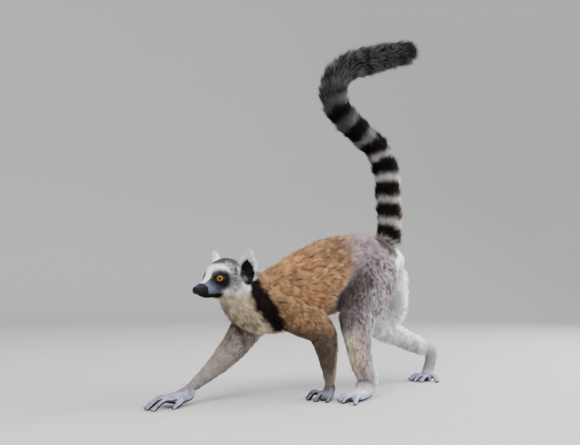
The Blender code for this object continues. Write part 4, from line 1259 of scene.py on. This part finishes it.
def link(tree, source, target):
    """Joins two sockets."""
    tree.links.new(source, target)


def grain_group():
    """Fine streaks and specks that vary a colour and lift a surface: outputs a mask from 0 to 1."""
    name = "hair grain"
    if name in bpy.data.node_groups:
        return bpy.data.node_groups[name]
    group = bpy.data.node_groups.new(name, "ShaderNodeTree")
    group.interface.new_socket("Scale", in_out="INPUT", socket_type="NodeSocketFloat").default_value = 400.0
    group.interface.new_socket("Mask", in_out="OUTPUT", socket_type="NodeSocketFloat")
    put_in, put_out = group.nodes.new("NodeGroupInput"), group.nodes.new("NodeGroupOutput")
    where = group.nodes.new("ShaderNodeTexCoord")
    noise = group.nodes.new("ShaderNodeTexNoise")
    noise.inputs["Detail"].default_value = 3.0
    group.links.new(where.outputs["Object"], noise.inputs["Vector"])
    group.links.new(put_in.outputs["Scale"], noise.inputs["Scale"])
    group.links.new(noise.outputs["Fac"], put_out.inputs["Mask"])
    return group


def varied(tree, shader, colour, scale, amount):
    """Feeds the shader a colour, lightened and darkened by the grain."""
    grain = tree.nodes.new("ShaderNodeGroup")
    grain.node_tree = grain_group()
    grain.inputs["Scale"].default_value = scale
    shift = tree.nodes.new("ShaderNodeMapRange")
    shift.inputs["From Min"].default_value, shift.inputs["From Max"].default_value = 0.3, 0.7
    shift.inputs["To Min"].default_value, shift.inputs["To Max"].default_value = 1 - amount, 1 + amount
    times = tree.nodes.new("ShaderNodeVectorMath")
    times.operation = "SCALE"
    link(tree, grain.outputs["Mask"], shift.inputs["Value"])
    link(tree, colour, times.inputs[0])
    link(tree, shift.outputs["Result"], times.inputs["Scale"])
    link(tree, times.outputs["Vector"], shader.inputs["Base Color"])
    return grain


def coat_material():
    """Hair: its colours, with their painted light and shade, and a fine grain, dull."""
    material, tree, shader = new_material("lemur_hair")
    colour = tree.nodes.new("ShaderNodeAttribute")
    colour.attribute_name = "coat_colour"
    varied(tree, shader, colour.outputs["Color"], 300.0, 0.12)
    shader.inputs["Roughness"].default_value = 0.85
    shader.inputs["Specular IOR Level"].default_value = 0.07
    return material


def skin_material():
    """Skin and the short hair flat on it: its colours, with their painted shade, and a bump, dull but for the
    moist nose.
    """
    material, tree, shader = new_material("lemur_skin")
    colour = tree.nodes.new("ShaderNodeAttribute")
    colour.attribute_name = "skin_colour"
    grain = varied(tree, shader, colour.outputs["Color"], 260.0, 0.22)
    bump = tree.nodes.new("ShaderNodeBump")
    bump.inputs["Strength"].default_value = 0.5
    bump.inputs["Distance"].default_value = 0.0006
    link(tree, grain.outputs["Mask"], bump.inputs["Height"])
    link(tree, bump.outputs["Normal"], shader.inputs["Normal"])
    wet = tree.nodes.new("ShaderNodeAttribute")
    wet.attribute_name = "wet"
    rough = tree.nodes.new("ShaderNodeMapRange")
    rough.inputs["To Min"].default_value, rough.inputs["To Max"].default_value = 0.8, 0.32
    link(tree, wet.outputs["Fac"], rough.inputs["Value"])
    link(tree, rough.outputs["Result"], shader.inputs["Roughness"])
    shader.inputs["Specular IOR Level"].default_value = 0.15
    return material


def eye_material(look):
    """The eyeball: black pupil, amber iris with fine spokes and a dark edge, under a clear coat."""
    material, tree, shader = new_material("lemur_eye")
    angle = tree.nodes.new("ShaderNodeAttribute")
    angle.attribute_name = "from_axis"
    spokes = tree.nodes.new("ShaderNodeTexNoise")
    spokes.inputs["Scale"].default_value, spokes.inputs["Detail"].default_value = 900.0, 2.0
    where = tree.nodes.new("ShaderNodeTexCoord")
    link(tree, where.outputs["Object"], spokes.inputs["Vector"])
    add = tree.nodes.new("ShaderNodeMath")
    add.operation = "MULTIPLY_ADD"
    add.inputs[1].default_value = 0.06
    link(tree, spokes.outputs["Fac"], add.inputs[0])
    link(tree, angle.outputs["Fac"], add.inputs[2])
    rings = tree.nodes.new("ShaderNodeValToRGB")
    pupil = (0.002, 0.002, 0.002)
    inner, outer = [c * 0.7 for c in look.iris], [c * 0.45 for c in look.iris]
    stops = ((0.0, pupil), (0.36, pupil), (0.40, inner), (0.62, look.iris[:]), (0.80, outer),
             (0.90, (0.006, 0.004, 0.003)))
    ramp_stops = rings.color_ramp.elements
    while len(ramp_stops) < len(stops):
        ramp_stops.new(0.5)
    for stop, (position, colour) in zip(ramp_stops, stops):
        stop.position, stop.color = position, (*colour, 1.0)
    link(tree, add.outputs["Value"], rings.inputs["Fac"])
    link(tree, rings.outputs["Color"], shader.inputs["Base Color"])
    shader.inputs["Roughness"].default_value = 0.3
    shader.inputs["Specular IOR Level"].default_value = 0.1
    shader.inputs["Coat Weight"].default_value = 0.15
    shader.inputs["Coat Roughness"].default_value = 0.02
    return material


def plain_material(name, colour, rough, scale, amount):
    """One colour with a fine grain and a slight bump."""
    material, tree, shader = new_material(name)
    tone = tree.nodes.new("ShaderNodeRGB")
    tone.outputs["Color"].default_value = (*colour, 1.0)
    grain = varied(tree, shader, tone.outputs["Color"], scale, amount)
    bump = tree.nodes.new("ShaderNodeBump")
    bump.inputs["Strength"].default_value, bump.inputs["Distance"].default_value = 0.3, 0.0003
    link(tree, grain.outputs["Mask"], bump.inputs["Height"])
    link(tree, bump.outputs["Normal"], shader.inputs["Normal"])
    shader.inputs["Roughness"].default_value = rough
    shader.inputs["Specular IOR Level"].default_value = 0.15
    return material


# ---------------------------------------------------------------- settings
def tone(name, words, default):
    """A colour setting."""
    return bpy.props.FloatVectorProperty(name=name, description=words, default=default, subtype="COLOR",
                                         size=3, min=0.0, max=1.0)


class LemurColours(bpy.types.PropertyGroup):
    """Colours of the coat, skin, eyes, nails and stage."""
    white: tone("White", "Face, ears, pale bands and fringes", linear(240, 242, 248))
    cream: tone("Cream", "Throat, chest, belly and inner sides", linear(174, 160, 140))
    ochre: tone("Ochre", "Back and flanks", linear(172, 126, 88))
    gold: tone("Gold", "Tips of the hair on the back", linear(208, 167, 122))
    brown: tone("Brown", "Shoulders and upper arm", linear(116, 91, 68))
    nape: tone("Nape", "Nape, behind the ruff", linear(122, 92, 68))
    umber: tone("Umber", "Outer side of the left forearm", linear(84, 73, 63))
    taupe: tone("Taupe", "Right arm and wrists", linear(154, 145, 139))
    grey: tone("Grey", "Rump, thighs and shanks", linear(144, 131, 135))
    charcoal: tone("Charcoal", "Front of the thigh and knee", linear(60, 55, 54))
    cheek: tone("Cheek grey", "Streaks on the cheeks", linear(58, 57, 57))
    cap: tone("Cap", "Crown of the head", linear(72, 69, 77))
    snout: tone("Snout", "Sides of the snout", linear(84, 91, 115))
    # patch also paints the shade in the ears' hollows
    patch: tone("Patch", "Eye patches and the ears' hollows", linear(18, 19, 24))
    black: tone("Black", "Muzzle and dark bands", linear(12, 10, 10))
    # stripe paints the shade in the parting down the neck
    stripe: tone("Stripe", "The stripe down the neck", linear(22, 17, 15))
    lavender: tone("Lavender", "Skin of the fingers and toes", linear(172, 175, 208))
    iris: tone("Iris", "Iris of the eyes", linear(158, 98, 10))
    nail: tone("Nail", "Nails of the fingers and toes", linear(52, 48, 50))
    paper: tone("Paper", "Floor and backdrop", (0.52, 0.51, 0.50))


def measure(name, words, default, high, unit="NONE"):
    """A setting that is a number above nothing."""
    return bpy.props.FloatProperty(name=name, description=words, default=default, unit=unit, min=0.01,
                                   max=high)


class LemurSizes(bpy.types.PropertyGroup):
    """Measures of the coat and of the light."""
    seed: bpy.props.IntProperty(name="Seed", description="Lays the tufts in another way", default=11, min=0)
    tufts: measure("Tufts", "Number of tufts, over the animal's own", 1.0, 1.2)
    hair_length: measure("Hair length", "Length of every tuft, over the animal's own", 1.0, 1.5)
    key: measure("Key light", "Power of the large lamp at the left", 125.0, 1000.0, "POWER")
    fill: measure("Fill light", "Power of the lamp at the right", 150.0, 1000.0, "POWER")


def tints():
    """The colour settings as a dict of arrays."""
    look = bpy.context.scene.lemur_colours
    return {name: np.array(getattr(look, name)) for name in LemurColours.__annotations__}


# the solids that the one skin stands for: all but the eyes
SIDED = ("ear", "upper_arm", "forearm", "hand", "thigh", "shank", "foot")
FLESH = ["head", "neck", "chest", "belly", "hips"]
FLESH += [f"{part}_{side}" for part in SIDED for side in ("left", "right")]
FLESH += [f"tail_{n}" for n in range(1, 9)]

# piece of the coat: the parts whose tufts it holds, the solids it stands for, its slot
COAT_PIECES = {
    "coat_head": (("head",), ("head",), "head_coat"),
    "coat_ears": (("ear_left", "ear_right"), ("ear_left", "ear_right"), "ear_coat"),
    "coat_neck": (("neck",), ("neck",), "neck_coat"),
    "coat_trunk_front": (("trunk",), ("chest",), "chest_coat"),
    "coat_trunk_back": (("trunk",), ("belly", "hips"), "belly_coat"),
    "coat_tail_lower": (("tail",), ("tail_1", "tail_2", "tail_3", "tail_4"), "tail_coat"),
    "coat_tail_upper": (("tail",), ("tail_5", "tail_6", "tail_7", "tail_8"), "tail_coat"),
    "coat_thigh_left": (("thigh_left",), ("thigh_left",), "thigh_coat"),
    "coat_thigh_right": (("thigh_right", "fringe"), ("thigh_right",), "thigh_coat"),
    "coat_shank_left": (("shank_left",), ("shank_left",), "shank_coat"),
    "coat_shank_right": (("shank_right",), ("shank_right",), "shank_coat"),
    "coat_arm_left": (("arm_left",), ("upper_arm_left", "forearm_left"), "forearm_coat"),
    "coat_arm_right": (("arm_right",), ("upper_arm_right", "forearm_right"), "upper_arm_coat"),
    "coat_hands": (("hand_left", "hand_right"), ("hand_left", "hand_right"), "hand_skin_and_coat"),
    "coat_feet": (("foot_left", "foot_right"), ("foot_left", "foot_right"), "foot_skin_and_coat"),
}
# pieces that hold half of their part's tufts: the trunk's by x, the tail's by the way along it
HALVES = {"coat_trunk_front": ("x", -1), "coat_trunk_back": ("x", 1), "coat_tail_lower": ("reach", -1),
          "coat_tail_upper": ("reach", 1)}


def settle(obj, nodes):
    """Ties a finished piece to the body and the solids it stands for."""
    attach(obj, BODY)
    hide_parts(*nodes)


# ---------------------------------------------------------------- operators
class LEMUR_OT_skin(bpy.types.Operator):
    """Makes the one skin of the body with its markings and painted shade"""
    bl_idname = "lemur.skin"
    bl_label = "Skin"

    def execute(self, context):
        tubes = all_tubes()
        skin = make_skin(tubes)
        points, normals, _ = read_mesh(skin.data)
        place = place_on_body(points, tubes)
        colour = markings_and_shade(points, normals, place, tubes, tints(), 0.0)
        # painted shade under the coat: the skin up to 35% darker away from the face and paws
        shade_under_coat = 1 - 0.35 * (1 - soft_focus(points))
        colour = np.column_stack([colour * shade_under_coat[:, None], np.ones(len(points))])
        give(skin.data, "skin_colour", "FLOAT_COLOR", colour)
        x, _, z = to_head(points).T
        give(skin.data, "wet", "FLOAT", ramp(x, 0.75, 0.45) * ramp(z, -1.0, -0.7) * place.share_of["head"])
        skin.data.materials.clear()
        skin.data.materials.append(skin_material())
        settle(skin, FLESH)
        return {"FINISHED"}


class LEMUR_OT_coat(bpy.types.Operator):
    """Makes the coat of solid tufts, in pieces"""
    bl_idname = "lemur.coat"
    bl_label = "Coat"

    def execute(self, context):
        tubes = all_tubes()
        seed = context.scene.lemur_sizes.seed
        hair = comb(bpy.data.objects["skin"], tubes, tints(), seed)
        rng = np.random.default_rng(seed + 1)
        material = coat_material()
        part = np.array([t.part for t in tubes])[hair.place.tube]
        beyond = {"x": hair.root[:, 0] > TRUNK_SPLIT, "reach": along_tail(hair.place, tubes)[0] > TAIL_SPLIT}
        for name, (parts, nodes, slot) in COAT_PIECES.items():
            chosen = np.isin(part, parts)
            if name in HALVES:
                measure, way = HALVES[name]
                chosen &= beyond[measure] == (way > 0)
            settle(coat_piece(name, hair, chosen, tubes, parts, material, rng), nodes)
        return {"FINISHED"}


class LEMUR_OT_eyes(bpy.types.Operator):
    """Makes the two eyeballs and their black lids"""
    bl_idname = "lemur.eyes"
    bl_label = "Eyes and lids"

    def execute(self, context):
        eye = eye_material(context.scene.lemur_colours)
        dark = plain_material("lemur_lid", context.scene.lemur_colours.patch, 0.45, 900.0, 0.2)
        for side, way in (("left", -1), ("right", 1)):
            ball, rim = self.ball("eyeball_" + side, way), self.lids("lids_" + side, way)
            for piece, material in ((ball, eye), (rim, dark)):
                piece.data.materials.append(material)
                settle(piece, ["eye_" + side])
        return {"FINISHED"}

    def ball(self, name, way):
        """A ball of the eye's radius, 0.5% less, with a cornea that stands 2% further out inside 44 degrees.
        Each point keeps its angle from the axis, over the iris's."""
        rows, around = 25, 40
        a = np.linspace(0, math.pi, rows + 2)[1:-1, None]
        t = np.linspace(0, 2 * math.pi, around, endpoint=False)[None]
        centre = np.array(EYE_CENTRE) * (1, way, 1)
        bulge = EYE_RADIUS * (0.985 + 0.02 * ramp(np.degrees(a), 44, 20))[..., None]
        look = eye_axes(way)[0]
        ends = [centre + look * bulge[0, 0, 0], centre - look * bulge[-1, 0, 0]]
        points, faces = closed_tube(centre + from_eye(way, a, t) * bulge, *ends)
        ball = new_mesh(name, from_head(points), faces)
        recalculate(ball.data)
        away = np.concatenate([np.repeat(a.ravel(), around), [0, math.pi]]) / IRIS_ANGLE
        give(ball.data, "from_axis", "FLOAT", away)
        return ball

    def lids(self, name, way):
        """A rounded rim round the opening: a small ring carried along the almond on the eyeball's surface."""
        rows, around = 64, 10
        t = np.linspace(0, 2 * math.pi, rows, endpoint=False)[:, None]
        b = np.linspace(0, 2 * math.pi, around, endpoint=False)[None]
        a = lid_angle(t) * 1.03 + 0.10 * np.cos(b)
        far = EYE_RADIUS + 0.035 + 0.055 * np.sin(b)
        centre = np.array(EYE_CENTRE) * (1, way, 1)
        points = (centre + from_eye(way, a, t) * far[..., None]).reshape(-1, 3)
        rim = new_mesh(name, from_head(points), [grid_faces(rows + 1, around) % (rows * around)])
        recalculate(rim.data)
        return rim


class LEMUR_OT_nails(bpy.types.Operator):
    """Makes the nails of the fingers and toes"""
    bl_idname = "lemur.nails"
    bl_label = "Nails"

    def execute(self, context):
        surfaces = [self.nail(np.array(digit)) for paw in PAWS.values() for digit in paw[1:6]]
        nails = new_mesh("nails", *joined(surfaces))
        recalculate(nails.data)
        horn = plain_material("lemur_nail", context.scene.lemur_colours.nail, 0.35, 700.0, 0.25)
        nails.data.materials.append(horn)
        settle(nails, list(PAWS))
        return {"FINISHED"}

    def nail(self, digit):
        """A curved plate on the end of a digit: a flattened ball, 0.5 long, 0.34 wide and 0.12 thick."""
        last, before = digit[-1, :3], digit[-2, :3]
        along = unit((last - before) * (1, 1, 0.35))
        side = unit(np.cross((0, 0, 1), along))
        up = np.cross(along, side)
        centre = last - (0, 0, SINK) + along * 0.22 + up * 0.26
        a = np.linspace(0, math.pi, 7)[1:-1, None]
        t = np.linspace(0, 2 * math.pi, 10, endpoint=False)[None]
        forward = (0.27 * np.cos(a))[..., None]
        wide = (0.17 * np.sin(a) * np.cos(t))[..., None]
        high = (0.07 * np.sin(a) * np.sin(t) - 0.16 * (1 - np.cos(a)) * 0.2)[..., None]
        rings = centre + along * forward + side * wide + up * high
        return closed_tube(rings, centre + along * 0.27, centre - along * 0.27 - up * 0.06)


class LEMUR_OT_stage(bpy.types.Operator):
    """Makes the floor and backdrop, the lights and the camera"""
    bl_idname = "lemur.stage"
    bl_label = "Stage"

    def execute(self, context):
        scene = context.scene
        self.backdrop(scene.lemur_colours.paper)
        scene.world = bpy.data.worlds.new("studio")
        scene.world.use_nodes = True
        sky = scene.world.node_tree.nodes["Background"]
        sky.inputs["Color"].default_value = SKY
        sky.inputs["Strength"].default_value = SKY_STRENGTH
        for name, (place, target, size, colour) in LAMPS.items():
            data = bpy.data.lights.new(name, "AREA")
            data.shape, data.size, data.color = "DISK", size, colour
            data.energy = getattr(scene.lemur_sizes, name)
            self.stand(name, data, place, np.array(target) - np.array(place))
        camera = bpy.data.cameras.new("camera")
        camera.sensor_width, camera.lens = SENSOR, FOCAL_SHARE * SENSOR
        scene.camera = self.stand("camera", camera, CAMERA_PLACE, np.array(CAMERA_LOOK))
        return {"FINISHED"}

    def stand(self, name, data, place, direction):
        """An object for a lamp or the camera, at a place, its -Z turned to a direction and its Y up."""
        obj = bpy.data.objects.new(name, data)
        bpy.context.scene.collection.objects.link(obj)
        obj.location = place
        obj.rotation_mode = "QUATERNION"
        obj.rotation_quaternion = Vector(direction.tolist()).to_track_quat("-Z", "Y")
        return obj

    def backdrop(self, paper):
        """A round floor that turns up into a wall: a flat disc, a quarter circle of 1.5 m and a straight
        rise, turned about the vertical."""
        bend = np.linspace(0, math.pi / 2, 13)
        radius = np.concatenate([[0.5, 1.5, 3.0], 3.5 + 1.5 * np.sin(bend), [5.0]])[:, None]
        height = np.concatenate([[0, 0, 0], 1.5 * (1 - np.cos(bend)), [6.0]])[:, None]
        around = 64
        turn = np.linspace(0, 2 * math.pi, around, endpoint=False)
        rings = np.stack([radius * np.cos(turn), radius * np.sin(turn), height + 0 * turn], -1)
        points = np.vstack([rings.reshape(-1, 3), [(0, 0, 0)]])
        j = np.arange(around)
        fan = np.stack([np.full(around, len(points) - 1), j, (j + 1) % around], 1)
        floor = new_mesh("floor", in_centimetres(points), [grid_faces(len(radius), around)[:, ::-1], fan])
        floor.data.materials.append(plain_material("studio_paper", paper, 0.9, 40.0, 0.02))


class LEMUR_PT_panel(bpy.types.Panel):
    """Lists the steps and the settings"""
    bl_label = "Ring-tailed lemur"
    bl_space_type = "VIEW_3D"
    bl_region_type = "UI"
    bl_category = "Lemur"

    def draw(self, context):
        layout = self.layout
        for step in STEPS:
            layout.operator(step)
        for settings in (context.scene.lemur_sizes, context.scene.lemur_colours):
            for name in type(settings).__annotations__:
                layout.prop(settings, name)


STEPS = ("lemur.skin", "lemur.coat", "lemur.eyes", "lemur.nails", "lemur.stage")
CLASSES = (LemurColours, LemurSizes, LEMUR_OT_skin, LEMUR_OT_coat, LEMUR_OT_eyes, LEMUR_OT_nails,
           LEMUR_OT_stage, LEMUR_PT_panel)


def register():
    """Adds the settings, the operators and the panel."""
    for item in CLASSES:
        bpy.utils.register_class(item)
    bpy.types.Scene.lemur_colours = bpy.props.PointerProperty(type=LemurColours)
    bpy.types.Scene.lemur_sizes = bpy.props.PointerProperty(type=LemurSizes)


def unregister():
    """Takes them away again."""
    del bpy.types.Scene.lemur_sizes
    del bpy.types.Scene.lemur_colours
    for item in reversed(CLASSES):
        bpy.utils.unregister_class(item)


def main():
    """Makes every piece in order."""
    register()
    bpy.ops.lemur.skin()
    bpy.ops.lemur.coat()
    bpy.ops.lemur.eyes()
    bpy.ops.lemur.nails()
    bpy.ops.lemur.stage()


if __name__ == "__main__":
    main()
